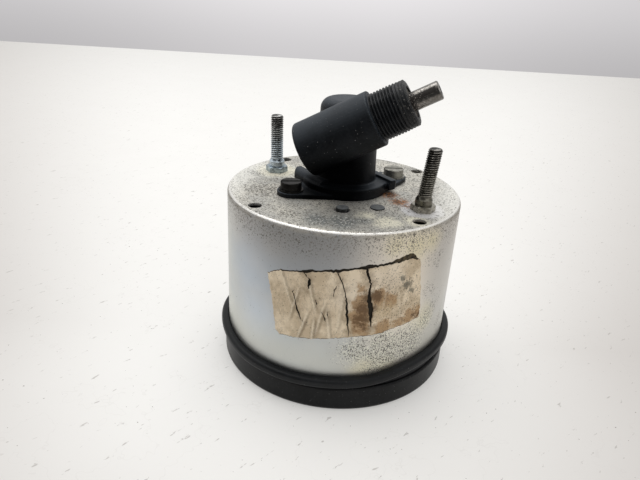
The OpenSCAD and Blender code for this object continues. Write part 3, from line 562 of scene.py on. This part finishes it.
def stud_finish(name, number, tip, middle, base, groove, worn):
    """A stud's thread with dark grooves and bright crests, worn and with painted glints, in three tones from its
    tip down.
    """
    look = Finish(name)
    height = look.axis("Z")
    tip_z = two_boxes("mounting_studs")[number][1][2]
    lean, heading = STUD_BENDS[number]
    rise = look.most(look.minus(height, STUD_START - 1), 0)
    tilt = look.scaled(polar(tan(radians(lean)), heading, 0), rise)
    away = look.vector("SUBTRACT", look.vector("SUBTRACT", look.place, stud_places()[number]), tilt)
    x, y = (look.node("SeparateXYZ", {0: away}, axis) for axis in "XY")
    turn = look.over(look.math("ARCTAN2", y, x), 2 * pi)
    phase = look.math("FRACT", look.minus(look.over(height, STUD_PITCH), turn))
    threaded = look.step(height, STUD_START - 0.2, STUD_START + 0.5)
    deep = look.times(look.step(look.off(phase, 0.5), 0.22, 0.38), threaded)
    crest = look.times(look.step(look.off(phase, 0.5), 0.14, 0.04), threaded)

    patches = look.noise(1.2, 5, 0.65)
    uneven = look.plus(height, look.times(look.minus(patches, 0.5), 6))
    shade = look.layers(
        look.blend(look.step(uneven, STUD_START + 5, STUD_START + 9), base, middle),
        (look.step(uneven, tip_z - 4.6, tip_z - 3), 1, tip),
        (look.step(patches, 0.5, 0.66), 0.6, groove),
        # Bright crests: worn metal with painted glints.
        (crest, look.step(patches, 0.62, 0.45), worn),
        (deep, 0.9, groove))
    rough = look.number(deep, look.number(patches, 0.12, 0.42), 0.85)
    dull = look.most(deep, look.times(look.step(height, tip_z - 0.5, tip_z - 0.2), 0.9))
    return look.finish(shade, rough, look.number(dull, 0.95, 0.2), bumps=[(patches, 0.02, 0.4)])


def paper_finish():
    """Aged paper: cream and tan, brown stains to the right, grey grime, creases, painted shade and highlights
    along the folds, and fine specks.
    """
    look = Finish("label_paper")
    warp = look.warped(7.5, 4.5)
    ragged = look.minus(look.noise(1.8, 6, 0.75), 0.5)

    def stain(soft, *places):
        spread = look.plus(look.spots(on_side(*places), soft, warp), look.times(ragged, 1.3))
        return look.step(spread, 0.25, 0.8)

    brown = stain(2.4, (-71.5, 45.5, 1.6), (-70, 41, 3), (-71, 36, 3.6), (-70.5, 32, 3), (-62, 42, 3.4),
                  (-58, 40.5, 2.6), (-46, 33, 3), (-41, 34.5, 2.4), (-52, 32, 2.4), (-60, 31, 3))
    dark = stain(2.4, (-68, 43, 1.8), (-69.5, 38.5, 2.4), (-70.6, 35.2, 2.2), (-71.2, 32.4, 1.9),
                 (-63.5, 42.5, 2), (-64.5, 38, 1.4), (-42, 33.5, 1.4))
    grime = stain(1.8, (-50.5, 44.5, 1.5), (-53, 47.5, 1.1), (-48, 42.5, 1))
    edges = look.spots([(polar(CAN_R, *place), 0.5 + width * 0.7) for width, crack in LABEL_CRACKS
                        for place in crack], 1.1, look.warped(1.6, 1.2))
    colour = look.layers(
        look.blend(look.cloud(6, 0.35, 0.62, 5, 0.65), (0.86, 0.735, 0.555), (0.62, 0.505, 0.355)),
        (look.spots(on_side((-75, 43, 5), (-60, 48, 5)), 4, warp), 0.6, (0.86, 0.76, 0.62)),
        (brown, 0.8, (0.4, 0.245, 0.115)),
        (dark, 0.85, (0.125, 0.068, 0.033)),
        (stain(2.4, (-60.5, 37, 3)), 0.6, (0.6, 0.47, 0.3)),
        (grime, 0.75, (0.1, 0.105, 0.085)),
        (edges, 0.5, (0.2, 0.145, 0.09)))

    arc = look.times(look.math("ARCTAN2", look.axis("Y"), look.axis("X")), CAN_R)
    # Along each fold, painted shade on one side and a painted highlight on the other.
    for turn, middle, lean, size in LABEL_FOLDS:
        rise = look.minus(look.axis("Z"), middle)
        aside = look.minus(look.minus(arc, radians(turn) * CAN_R), look.times(rise, tan(radians(lean))))
        aside = look.plus(aside, look.times(ragged, 1.4))
        near = look.times(look.step(look.math("ABSOLUTE", rise), 8, 3), size)
        colour = look.layers(
            colour,
            (look.step(look.off(aside, 0.55), 0.75, 0), near, (0.15, 0.11, 0.075)),
            (look.step(look.off(aside, -0.25), 0.55, 0), near, (0.95, 0.86, 0.7)))

    right = look.spots(on_side((-54, 40, 13)), 6)
    creases = look.noise(3.4, 6, 0.7, (1, 1, 0.45))
    colour = look.layers(
        colour,
        (look.grains(0.5, look.number(right, 0.22, 0.52), soft=0.05), 0.75, (0.085, 0.062, 0.042)),
        (look.step(look.off(creases, 0.5), 0.012, 0), 0.5, (0.16, 0.11, 0.07)))
    return look.finish(colour, 0.78, bumps=[(creases, 0.18, 0.7), (look.noise(0.25), 0.02, 0.4)],
                       Specular_IOR_Level=0.25)


def glue_finish():
    """Dried glue round the paper, nearly black, and olive where it lies thick at the upper right."""
    look = Finish("label_glue")
    patches = look.noise(1.4, 5, 0.7)
    thick = look.times(look.spots(on_side((-51, 55, 4.5)), 3), look.step(patches, 0.38, 0.58))
    shade = look.layers(look.blend(patches, (0.014, 0.012, 0.01), (0.036, 0.03, 0.021)),
                        (thick, 0.85, (0.115, 0.09, 0.05)))
    return look.finish(shade, look.number(patches, 0.7, 0.9), bumps=[(patches, 0.08, 0.6)],
                       Specular_IOR_Level=0.2)


# Finishes of the drive

def black_finish(name, colour, roughness, dust, grain_size, scratches=0.0, gloss=0.25, dust_and_sheen_top=0.0,
                 painted_shade_spot=None):
    """Black plastic, rubber or paint with a little dust in it and a slightly uneven gloss. It can take dust and a
    painted sheen on the faces that look up, and a spot of painted shade that is nearly black and without gloss.
    """
    look = Finish(name)
    patches = look.noise(7, 4)
    shade = look.blend(look.step(patches, 0.35, 0.7), colour, tuple(c * 1.8 + 0.002 for c in colour))
    # Dust and a painted bluish sheen on the faces that look up.
    if dust_and_sheen_top:
        top = look.times(look.upward(0.05, 1.0), look.number(patches, 0.5, 1.2))
        shade = look.layers(shade, (top, dust_and_sheen_top, (0.1, 0.121, 0.146)))
    shade = look.layers(
        shade,
        (look.cloud(0.42, 0.775 - dust * 0.04, 0.805 - dust * 0.04, 1), 0.6, (0.42, 0.42, 0.41)),
        (look.cloud(0.9, 0.4, 0.66, 4, 0.7), dust * 0.05, (0.11, 0.12, 0.13)),
        (look.cloud(2.2, 0.54, 0.8, 6, 0.7), dust * 0.06, (0.14, 0.14, 0.145)))
    # Painted shade: in a spot the part is darkened nearly to black and loses its gloss.
    if painted_shade_spot:
        painted_shade = look.spot(*painted_shade_spot, look.warped(3, 5))
        shade = look.layers(shade, (painted_shade, 0.9, (0.0006, 0.0006, 0.0008)))
        gloss = look.number(painted_shade, gloss, 0.02)
    rough = look.number(patches, roughness - 0.07, roughness + 0.1)
    bumps = [(look.noise(grain_size), 0.02, 0.45), (look.noise(3.5, 2), 0.1, 0.35)]
    if scratches:
        marks = look.cloud(1, 0.62, 0.66, 2, stretch=(0.3, 3, 0.3))
        bumps.append((marks, -0.02, scratches))
    return look.finish(shade, rough, bumps=bumps, Specular_IOR_Level=gloss)


def nipple_finish():
    """Worn black plastic, smooth and gritty towards its end, with pale specks in the dirt."""
    look = Finish("thread_plastic")
    end = look.step(look.along(BARREL_AXIS, BARREL_SPOT), NIPPLE_END - 5.5, NIPPLE_END - 0.5)
    grit = look.grains(0.45, look.number(end, 0.12, 0.62), soft=0.05)
    tone = look.cloud(0.8, 0.45, 0.6, place=look.shifted(4, 1, 2))
    shade = look.layers(look.blend(look.noise(2), (0.0042, 0.005, 0.0062), (0.01, 0.0115, 0.0135)),
                        (grit, 0.7, look.blend(tone, (0.045, 0.042, 0.038), (0.26, 0.25, 0.23))))
    return look.finish(shade, look.number(grit, 0.46, 0.8), bumps=[
        (grit, 0.06, 0.7), (look.noise(0.25), 0.02, 0.5)], Specular_IOR_Level=0.3)


def shaft_finish():
    """Polished shaft with dark corrosion and grit at its base, a strip of painted dark reflection along its front,
    and painted shade on its underside.
    """
    look = Finish("bright_steel")
    reflection_turn = radians(26)
    over = Vector((-BARREL_AXIS.z, 0, BARREL_AXIS.x))
    along = look.along(BARREL_AXIS, BARREL_SPOT)
    toward_reflection = look.along(over * sin(reflection_turn) + Vector((0, -cos(reflection_turn), 0)), BARREL_SPOT)
    shaft_r = MOUNTS["drive_shaft_end"]["r_mm"]
    patches = look.noise(1, 5, 0.7)

    def out(low, high, value=along):
        """Smooth change with the distance past the nipple's end."""
        return look.step(value, NIPPLE_END + low, NIPPLE_END + high)

    rust = look.times(out(4.8, 2.8, look.plus(along, look.times(patches, 5))), out(-2, -1))
    grit = look.times(look.cloud(0.6, 0.56, 0.62), out(8, 1.5))
    # A strip of painted dark reflection along the shaft's front.
    dark_reflection_strip = look.step(look.plus(toward_reflection, look.times(patches, 0.1)), shaft_r * 0.955, shaft_r * 0.985)
    dirt_and_painted_reflection = look.most(rust, look.times(dark_reflection_strip, out(8, 7.6)), look.times(grit, 0.8))
    # Painted shade: the shaft's underside is darker.
    under = look.step(look.along(over, BARREL_SPOT), -0.3, -2)
    specks = look.times(look.cloud(0.5, 0.56, 0.62, place=look.shifted(5, 3, 1)), out(4.5, 2.5))
    colour = look.layers(
        look.blend(look.step(patches, 0.35, 0.62), (0.34, 0.325, 0.305), (0.17, 0.16, 0.145)),
        (under, 0.6, (0.1, 0.093, 0.083)),
        (dirt_and_painted_reflection, 1, (0.028, 0.024, 0.021)),
        (specks, 0.8, (0.48, 0.44, 0.4)))
    rough = look.number(dirt_and_painted_reflection, look.number(patches, 0.14, 0.32), 0.6)
    return look.finish(colour, rough, look.number(dirt_and_painted_reflection, 1.0, 0.3), bumps=[
        (look.noise(0.25, 2), 0.008, 0.3), (look.times(rust, patches), 0.15, 0.6)])


# Finishes of small parts

def metal_finish(name, colour, roughness, stain, stain_share, grain=(1, 1, 1), grain_size=0.3, metallic=1.0):
    """Bare or plated metal with machining grain, uneven gloss and stains."""
    look = Finish(name)
    patches = look.noise(3, 5, 0.65)
    shade = look.blend(look.step(patches, 0.56 - stain_share * 0.3, 0.74 - stain_share * 0.3), colour, stain)
    lines = look.noise(grain_size, stretch=grain)
    rough = look.number(look.times(patches, lines), roughness - 0.08, roughness + 0.35)
    return look.finish(shade, rough, metallic, bumps=[(lines, 0.01, 0.4), (patches, 0.02, 0.25)])


def sided_metal(name, left, right, roughness, stain, shaded_flanks=None, metallic=0.95):
    """One finish for two copies, a colour for the copy at negative X and one for the other, and painted shade on
    faces that don't look up where a flank colour is given.
    """
    look = Finish(name)
    patches = look.noise(1.3, 5, 0.65)
    grime = look.step(patches, 0.48, 0.64)
    shade = look.blend(look.fade("X", -1, 1), left, right)
    # Painted shade: faces that don't look up take the dark flank colour.
    if shaded_flanks:
        shade = look.blend(look.upward(0.4, 0.9), shaded_flanks, shade)
    shade = look.layers(shade, (grime, 0.7, stain))
    rough = look.number(patches, roughness - 0.08, roughness + 0.3)
    metal = look.number(grime, metallic, metallic * 0.5)
    return look.finish(shade, rough, metal, bumps=[(patches, 0.03, 0.5), (look.noise(0.2), 0.01, 0.4)])


def paint_finish(name, colour, roughness):
    """Thin even paint on the dial's parts, with a fine orange peel and dust."""
    look = Finish(name)
    tone = look.noise(8)
    shade = look.layers(colour, (tone, 0.25, tuple(c * 0.6 + 0.02 for c in colour)),
                        (look.cloud(0.3, 0.74, 0.78, 1), 0.3, (0.45, 0.43, 0.4)))
    rough = look.number(tone, roughness - 0.05, roughness + 0.1)
    return look.finish(shade, rough, bumps=[(look.noise(0.5, 2), 0.008, 0.4)])


def glass_finish():
    look = Finish("glass")
    rough = look.number(look.noise(4, 5), 0.01, 0.06)
    return look.finish((0.96, 0.985, 0.975), rough, Transmission_Weight=1.0, IOR=1.5)


def magnet_finish():
    look = Finish("magnet_alloy")
    cast = look.noise(1.1, 6, 0.7)
    colour = look.blend(look.step(cast, 0.4, 0.7), (0.2, 0.2, 0.21), (0.31, 0.29, 0.27))
    return look.finish(colour, 0.62, 0.7, bumps=[(cast, 0.1, 0.6)])


def gear_finish():
    """Cream moulded plastic with smears of grease."""
    look = Finish("gear_plastic")
    tone = look.noise(2)
    grease = look.cloud(1.4, 0.55, 0.7, 4)
    colour = look.layers(look.blend(tone, (0.8, 0.77, 0.68), (0.72, 0.66, 0.53)),
                         (grease, 0.5, (0.3, 0.24, 0.14)))
    return look.finish(colour, look.number(grease, 0.45, 0.2), bumps=[(tone, 0.03, 0.4)],
                       Subsurface_Weight=0.1)


# Rubber ring and label

def rubber_ring(material):
    """The rubber ring, round outside, pulled up from the bezel at the front right over a thin skirt."""
    inner, outer, thick, edge_round = CAN_R + 0.05, CAN_R + 2.7, 3.3, 1.25
    skirt, skirt_foot = BEZEL_R - 0.9, BEZEL_TOP + 0.02
    columns, arc_steps, smoothing = 240, 9, 6
    turns = np.linspace(-180, 180, columns, endpoint=False)
    table = np.array(RUBBER_TOP)
    tops = np.interp(turns, table[:, 0], table[:, 1], period=360)
    tops = sum(np.roll(tops, shift) for shift in range(-smoothing, smoothing + 1)) / (2 * smoothing + 1)
    arc = np.linspace(-pi / 2, 0, arc_steps)
    points = []
    for turn, top in zip(turns, tops):
        low = max(top - thick, BEZEL_TOP + 0.05)
        half = min(edge_round, (top - low) / 2)
        middle = outer - half
        under = [(middle + half * cos(a), low + half + half * sin(a)) for a in arc]
        over = [(middle + half * cos(a), top - half - half * sin(a)) for a in arc[::-1]]
        profile = [
            (inner, skirt_foot), (skirt - 0.2, skirt_foot), (skirt, BEZEL_TOP + 0.03), (skirt, low),
            *under, *over, (inner + 0.5, top + 0.08), (inner + 0.15, top), (inner, top - 0.3)]
        points += [polar(r, turn, z) for r, z in profile]
    faces = rows_to_faces(columns, len(points) // columns, loop=True)
    make_piece("rubber_gasket", points, faces, material, ["rubber_ring"], crease=60)


def unroll(points):
    """Angle and height on the can to arc length and height."""
    return [(radians(a) * CAN_R, z) for a, z in points]


def torn(points, amount, seed, closed=True):
    """A line of points made uneven, as torn paper is."""
    step = 0.6
    chance = np.random.default_rng(seed)
    result = []
    ends = points[1:] + points[:1] if closed else points[1:]
    for (x0, y0), (x1, y1) in zip(points, ends):
        length = hypot(x1 - x0, y1 - y0)
        count = max(1, round(length / step))
        for i in range(count):
            share = i / count
            shift = chance.normal(0, amount)
            result.append((x0 + (x1 - x0) * share - (y1 - y0) / length * shift,
                           y0 + (y1 - y0) * share + (x1 - x0) / length * shift))
    return result


def label_shape():
    """The label's torn outline and its cracks, as arc length and height."""
    slits = []
    for number, (widest, crack) in enumerate(LABEL_CRACKS):
        centre = torn(unroll(crack), 0.12, seed=10 + number, closed=False)
        places = np.linspace(0, 1, len(centre))
        halves = [widest / 2 * (0.25 + 0.75 * sin(pi * share) ** 0.7)
                  * (0.66 + 0.34 * sin(9 * share + 1.83)) + 0.03 for share in places]
        left, right = ([(x + side * half, z) for (x, z), half in zip(centre, halves)] for side in (-1, 1))
        slits.append(left + right[::-1])
    return torn(unroll(LABEL_OUTLINE), 0.11, seed=3), slits


def within(x, y, loop):
    """Whether a flat point lies inside a closed line."""
    inside = False
    for (x0, y0), (x1, y1) in zip(loop, loop[1:] + loop[:1]):
        if (y0 > y) != (y1 > y) and x < x0 + (y - y0) / (y1 - y0) * (x1 - x0):
            inside = not inside
    return inside


def sheet_mesh(outline, slits, spacing):
    """Triangles that fill an outline, with holes for the slits and a grid of points inside."""
    loops = [outline] + slits
    points = [Vector(p) for loop in loops for p in loop]
    edges, first = [], 0
    for loop in loops:
        edges += [(first + i, first + (i + 1) % len(loop)) for i in range(len(loop))]
        first += len(loop)
    xs, zs = [p.x for p in points], [p.y for p in points]
    for i, x in enumerate(np.arange(min(xs), max(xs), spacing)):
        points += [Vector((x, z)) for z in np.arange(min(zs) + i % 2 * spacing / 2, max(zs), spacing)]
    flat, _, faces = delaunay_2d_cdt(points, edges, [], 1, 1e-5)[:3]
    middles = [sum((flat[i] for i in face), Vector((0, 0))) / len(face) for face in faces]
    faces = [face for face, m in zip(faces, middles) if not any(within(m.x, m.y, slit) for slit in slits)]
    used = sorted({i for face in faces for i in face})
    index = {old: new for new, old in enumerate(used)}
    return [flat[i] for i in used], [tuple(index[i] for i in face) for face in faces]


def label_lift(s, z):
    """How far the paper stands off the can: folds, curled edges and loose cracks."""
    fold_width, fold_height, curl, highest = 0.5, 7.0, 1.3, 0.85
    lift = PAPER_LIFT
    for turn, middle, lean, size in LABEL_FOLDS:
        line = radians(turn) * CAN_R + (z - middle) * tan(radians(lean))
        fade = exp(-((z - middle) / fold_height) ** 2)
        lift += size * fade * exp(-((s - line) / fold_width) ** 2)
    for width, crack in LABEL_CRACKS:
        for (turn, height), (after, higher) in zip(crack, crack[1:]):
            for share in (0.0, 0.33, 0.67):
                x = radians(turn + (after - turn) * share) * CAN_R
                away = hypot(s - x, z - height - (higher - height) * share)
                lift = max(lift, PAPER_LIFT + (0.18 + 0.22 * width) * exp(-(away / curl) ** 2))
    return min(lift, highest) + 0.05 * sin(s * 1.7 + z * 0.6) * sin(z * 1.1 - s * 0.4)


def wrapped(points, lift):
    """Flat label points laid on the can."""
    return [polar(CAN_R + lift(p.x, p.y), degrees(p.x / CAN_R), p.y) for p in points]


def paper_label(paper, glue):
    """The cracked paper, and the old glue that shows round its edge and through its cracks."""
    outline, slits = label_shape()
    points, faces = sheet_mesh(outline, slits, spacing=0.6)
    label = make_piece("torn_label", wrapped(points, label_lift), faces, paper,
                       ["paper_label"], crease=60)
    sheet = label.modifiers.new("paper", "SOLIDIFY")
    sheet.thickness = PAPER_THICKNESS * MM
    sheet.offset = -1

    turns, rises = zip(*GLUE_RISE)
    upper = sum(z for _, z in outline) / len(outline) + 5
    under = [(x, z + (np.interp(degrees(x / CAN_R), turns, rises) if z > upper else -0.22))
             for x, z in outline]
    points, faces = sheet_mesh(under, [], spacing=1.5)
    make_piece("label_residue", wrapped(points, lambda s, z: 0.03), faces, glue)


# Studs and moulding

def bent(points, lean, heading, start):
    """Points above a height leaned over towards a heading, as a bent stud."""
    out = np.array(points, float)
    rise = np.clip(out[:, 2] - start, 0, None)
    out[:, 0] += rise * tan(radians(lean)) * cos(radians(heading))
    out[:, 1] += rise * tan(radians(lean)) * sin(radians(heading))
    out[:, 2] -= rise * (1 - cos(radians(lean)))
    return out


def mounting_studs(materials):
    """Studs with real threads, each bent a little, as in the photograph."""
    crest = MOUNTS["mounting_studs"]["stud_r_mm"]
    root = crest - 0.61 * STUD_PITCH
    columns, shank, head_h, shoulder_r, cone_h = 32, 1.75, 1.5, crest + 0.5, 1.0
    nut_top = STUD_START - SHOULDER_HEIGHT
    for number, (low, high) in enumerate(two_boxes("mounting_studs")):
        head_r = (high[0] - low[0]) / 2
        rows = [(low[2], head_r - 0.2), (low[2] + 0.2, head_r), (low[2] + head_h, head_r),
                (low[2] + head_h, shank), (nut_top, shank), (nut_top, shoulder_r),
                (STUD_START - cone_h, shoulder_r), (STUD_START - cone_h + 0.1, shoulder_r - 0.1),
                (STUD_START - 0.1, crest)]
        rows += thread_rows(crest, root, STUD_PITCH, STUD_START, high[2], tip=0.5)
        rows.append((high[2], root - 0.1))
        points = turned_points(rows, columns)
        points[:, :2] += [(low[0] + high[0]) / 2, (low[1] + high[1]) / 2]
        points = bent(points, *STUD_BENDS[number], STUD_START - cone_h)
        faces = rows_to_faces(len(rows), columns)
        faces.append(tuple(range(columns - 1, -1, -1)))
        faces.append(tuple(len(points) - columns + i for i in range(columns)))
        make_piece(("stud_left", "stud_right")[number], points, faces, materials[number],
                   ["mounting_studs"], crease=40)


def softened(node):
    """A CAD node's points in metres and its faces, remeshed with softened edges."""
    copy = new_object("housing_copy", frame["nodes"][node].data.copy())
    copy.modifiers.new("weld", "WELD").merge_threshold = 0.00001
    even = copy.modifiers.new("even", "REMESH")
    even.mode = "VOXEL"
    even.voxel_size = 0.28 * MM
    soft = copy.modifiers.new("soft", "SMOOTH")
    soft.factor = 0.5
    soft.iterations = 2
    bpy.context.view_layer.update()
    mesh = bpy.data.meshes.new_from_object(copy.evaluated_get(bpy.context.evaluated_depsgraph_get()))
    bpy.data.objects.remove(copy)
    points = np.zeros(len(mesh.vertices) * 3)
    mesh.vertices.foreach_get("co", points)
    return points.reshape(-1, 3), [tuple(polygon.vertices) for polygon in mesh.polygons]


def drive_housing(plastic, thread):
    """The moulding with softened edges, and a real thread on its nipple."""
    across = Vector((0, 1, 0))
    turn = np.array(Matrix((across.cross(BARREL_AXIS), across, BARREL_AXIS)).transposed())
    spot = np.array(BARREL_SPOT)
    placed, faces = softened("drive_housing")

    # Inside the threaded sleeve, the moulding's own nipple shrinks to a core.
    bore_edge, sunk, shortened = 5.6, 1.0, 0.4
    local = (placed / MM - spot) @ turn
    radius = np.hypot(local[:, 0], local[:, 1])
    core = (local[:, 2] > BARREL_NOSE + 0.25) & (radius > bore_edge)
    local[core, :2] *= ((NIPPLE_R - sunk) / radius[core])[:, None]
    local[core, 2] = np.minimum(local[core, 2], NIPPLE_END - shortened)
    make_piece("housing_moulding", local @ turn.T + spot, faces, plastic,
               ["drive_housing"], crease=70)

    crest, root, pitch, columns, bore = NIPPLE_R, NIPPLE_R - 0.58, 1.0, 128, 5.0
    rows = [(BARREL_NOSE - 0.3, root - 0.4), (BARREL_NOSE - 0.3, root)]
    rows += thread_rows(crest, root, pitch, BARREL_NOSE + 0.05, NIPPLE_END - 0.05, steps=10, runout=0.2,
                        tip=0.8)
    rows += [(NIPPLE_END, crest - 0.9), (NIPPLE_END, bore), (NIPPLE_END - 1, bore)]
    sleeve = turned_points(rows, columns)
    angles, height = np.arctan2(sleeve[:, 1], sleeve[:, 0]), sleeve[:, 2]

    # The crests are worn down and the grooves filled with dirt over the last turns.
    worn = np.clip((height - (NIPPLE_END - 4.5)) / 3, 0, 1) * (height < NIPPLE_END - 0.1)
    waves = np.sin(angles * 7 + height * 5) * np.sin(height * 3 + angles * 3)
    rub = 0.1 * worn * (0.6 + 0.4 * waves)
    radius = np.hypot(sleeve[:, 0], sleeve[:, 1])
    filled = np.where(radius > root, radius + (crest - 0.22 - radius) * worn * 0.85 - rub, radius)
    sleeve[:, :2] *= (filled / radius)[:, None]
    make_piece("nipple_thread", sleeve @ turn.T + spot, rows_to_faces(len(rows), columns), thread,
               ["drive_housing"], crease=40)


# Dial

def dial_marks(white, red):
    """Ticks, a red zone and plain numbers on the dial's front face."""
    face_z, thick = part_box("dial_plate")[0].z / MM, 0.05
    zero, sweep, top_value, parts = POINTER_REST, JOINTS["pointer_swing"]["range_deg"][1], 8, 5
    tick_end, long_tick, short_tick = 34.6, (29.5, 0.55), (31.8, 0.25)
    red_inner, red_outer, red_value, red_steps = 35.0, 36.2, 6.5, 24
    number_r, number_size = 25.2, 6.6
    points, faces = [], []

    def block(corners):
        first, count = len(points), len(corners)
        points.extend([(x, y, face_z) for x, y in corners] + [(x, y, face_z - thick) for x, y in corners])
        faces.append(tuple(first + count + i for i in range(count)))
        for i in range(count):
            after = (i + 1) % count
            faces.append((first + i, first + after, first + count + after, first + count + i))

    for tick in range(top_value * parts + 1):
        inner, half = short_tick if tick % parts else long_tick
        lean = Matrix.Rotation(radians(zero + sweep * tick / (top_value * parts)), 2)
        corners = (inner, -half), (tick_end, -half), (tick_end, half), (inner, half)
        block([lean @ Vector(c) for c in corners])
    make_piece("dial_ticks", points, faces, white, crease=20)

    points, faces = [], []
    start = zero + sweep * red_value / top_value
    for i in range(red_steps):
        a, b = (start + (zero + sweep - start) * j / red_steps for j in (i, i + 1))
        corners = (red_inner, a), (red_outer, a), (red_outer, b), (red_inner, b)
        block([polar(r, t, 0).xy for r, t in corners])
    make_piece("dial_red_zone", points, faces, red, crease=20)

    up = polar(1, zero + sweep / 2, 0)
    right = Vector((-up.y, up.x, 0))
    upright = Matrix((right, up, Vector((0, 0, -1)))).transposed().to_4x4()
    for value in range(top_value + 1):
        name = f"dial_number_{value}"
        data = bpy.data.curves.new(name, "FONT")
        data.body = str(value)
        data.size = number_size * MM
        data.extrude = thick / 2 * MM
        data.align_x, data.align_y = "CENTER", "CENTER"
        data.resolution_u = 8
        data.materials.append(white)
        number = new_object(name, data)
        place = polar(number_r, zero + sweep * value / top_value, face_z - thick / 2) * MM
        number.matrix_world = Matrix.Translation(place) @ upright
        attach(number, "case")


def dress(finishes):
    """Gives each CAD node that stays visible its finish."""
    for material, nodes in finishes:
        for name in nodes.split():
            frame["nodes"][name].data.materials.clear()
            frame["nodes"][name].data.materials.append(material)


make_camera()
bpy.context.scene.view_settings.view_transform = "Standard"
make_world()
make_floor()
make_lamp()

# Painted shade on the black moulding round the front of the boss and flange.
PAINTED_SHADE_SPOT = ((-3.0, -13.0, BACK_Z + 6.0), 12.5, 4.5)
rubber = black_finish("rubber", (0.004, 0.0047, 0.0056), 0.44, 0.3, 0.5, gloss=0.22)
plastic = black_finish("black_plastic", (0.0026, 0.0036, 0.0051), 0.46, 0.7, 0.5, scratches=0.5, gloss=0.18,
                       dust_and_sheen_top=0.4, painted_shade_spot=PAINTED_SHADE_SPOT)
black_paint = black_finish("black_paint", (0.0036, 0.0038, 0.0042), 0.36, 0.5, 0.6, gloss=0.16)
cap_black = black_finish("cap_black", (0.02, 0.02, 0.021), 0.3, 0.2, 0.5)
white_paint = paint_finish("dial_white", (0.82, 0.81, 0.76), 0.5)
stud_left = stud_finish("stud_bright", 0, (0.085, 0.08, 0.075), (0.4, 0.41, 0.4), (0.58, 0.66, 0.72),
                        (0.04, 0.04, 0.038), (0.72, 0.72, 0.7))
stud_right = stud_finish("stud_dull", 1, (0.06, 0.056, 0.05), (0.09, 0.083, 0.07), (0.18, 0.17, 0.14),
                         (0.02, 0.018, 0.015), (0.42, 0.4, 0.36))

rubber_ring(rubber)
paper_label(paper_finish(), glue_finish())
mounting_studs([stud_left, stud_right])
drive_housing(plastic, nipple_finish())
dial_marks(white_paint, paint_finish("dial_red", (0.62, 0.05, 0.03), 0.5))
dress([
    (can_finish(), "rear_case"),
    (black_paint, "bezel_ring dial_ring"),
    (rubber, "glass_seal"),
    (glass_finish(), "glass"),
    (paint_finish("dial_black", (0.016, 0.016, 0.017), 0.55), "dial_plate"),
    (paint_finish("pointer_white", (0.86, 0.84, 0.78), 0.45), "pointer"),
    (cap_black, "pointer_cap"),
    (metal_finish("black_steel", (0.05, 0.05, 0.052), 0.4, (0.12, 0.1, 0.08), 0.2), "dial_screws"),
    (metal_finish("inner_steel", (0.66, 0.66, 0.66), 0.22, (0.45, 0.42, 0.38), 0.1, (1, 1, 8)),
     "output_shaft magnet_spindle pointer_staff stop_pins"),
    (shaft_finish(), "input_shaft"),
    (metal_finish("cast_alloy", (0.58, 0.58, 0.6), 0.5, (0.4, 0.39, 0.38), 0.3, grain_size=0.6),
     "movement_frame movement_bridge"),
    (metal_finish("brass", (0.76, 0.56, 0.25), 0.26, (0.42, 0.28, 0.12), 0.25, (1, 1, 6)),
     "bridge_pillars staff_bush spindle_bush spring_post output_bush thrust_washers spring_collet"),
    (metal_finish("grimed_brass", (0.07, 0.055, 0.035), 0.6, (0.02, 0.017, 0.014), 0.6, metallic=0.4),
     "input_bush"),
    (metal_finish("spring_bronze", (0.72, 0.5, 0.26), 0.25, (0.4, 0.26, 0.14), 0.2), "hairspring"),
    (metal_finish("zinc_steel", (0.58, 0.59, 0.6), 0.34, (0.38, 0.35, 0.3), 0.2), "field_cup"),
    (metal_finish("aluminium_sheet", (0.8, 0.8, 0.82), 0.3, (0.62, 0.62, 0.63), 0.2, (1, 1, 5)),
     "drag_cup"),
    (magnet_finish(), "magnet"),
    (gear_finish(), "input_gear output_gear"),
    (plastic, "barrel_plug"),
    (sided_metal("nut_zinc", (0.4, 0.47, 0.52), (0.36, 0.34, 0.29), 0.15, (0.04, 0.036, 0.03)), "stud_nuts"),
    (sided_metal("screw_steel", (0.019, 0.018, 0.017), (0.33, 0.32, 0.285), 0.38, (0.018, 0.016, 0.014)),
     "clamp_screws clamp_washers"),
    (sided_metal("peg_steel", (0.15, 0.16, 0.165), (0.15, 0.16, 0.165), 0.55, (0.06, 0.062, 0.064),
                 shaded_flanks=(0.008, 0.008, 0.008), metallic=0.25), "locating_pegs"),
])
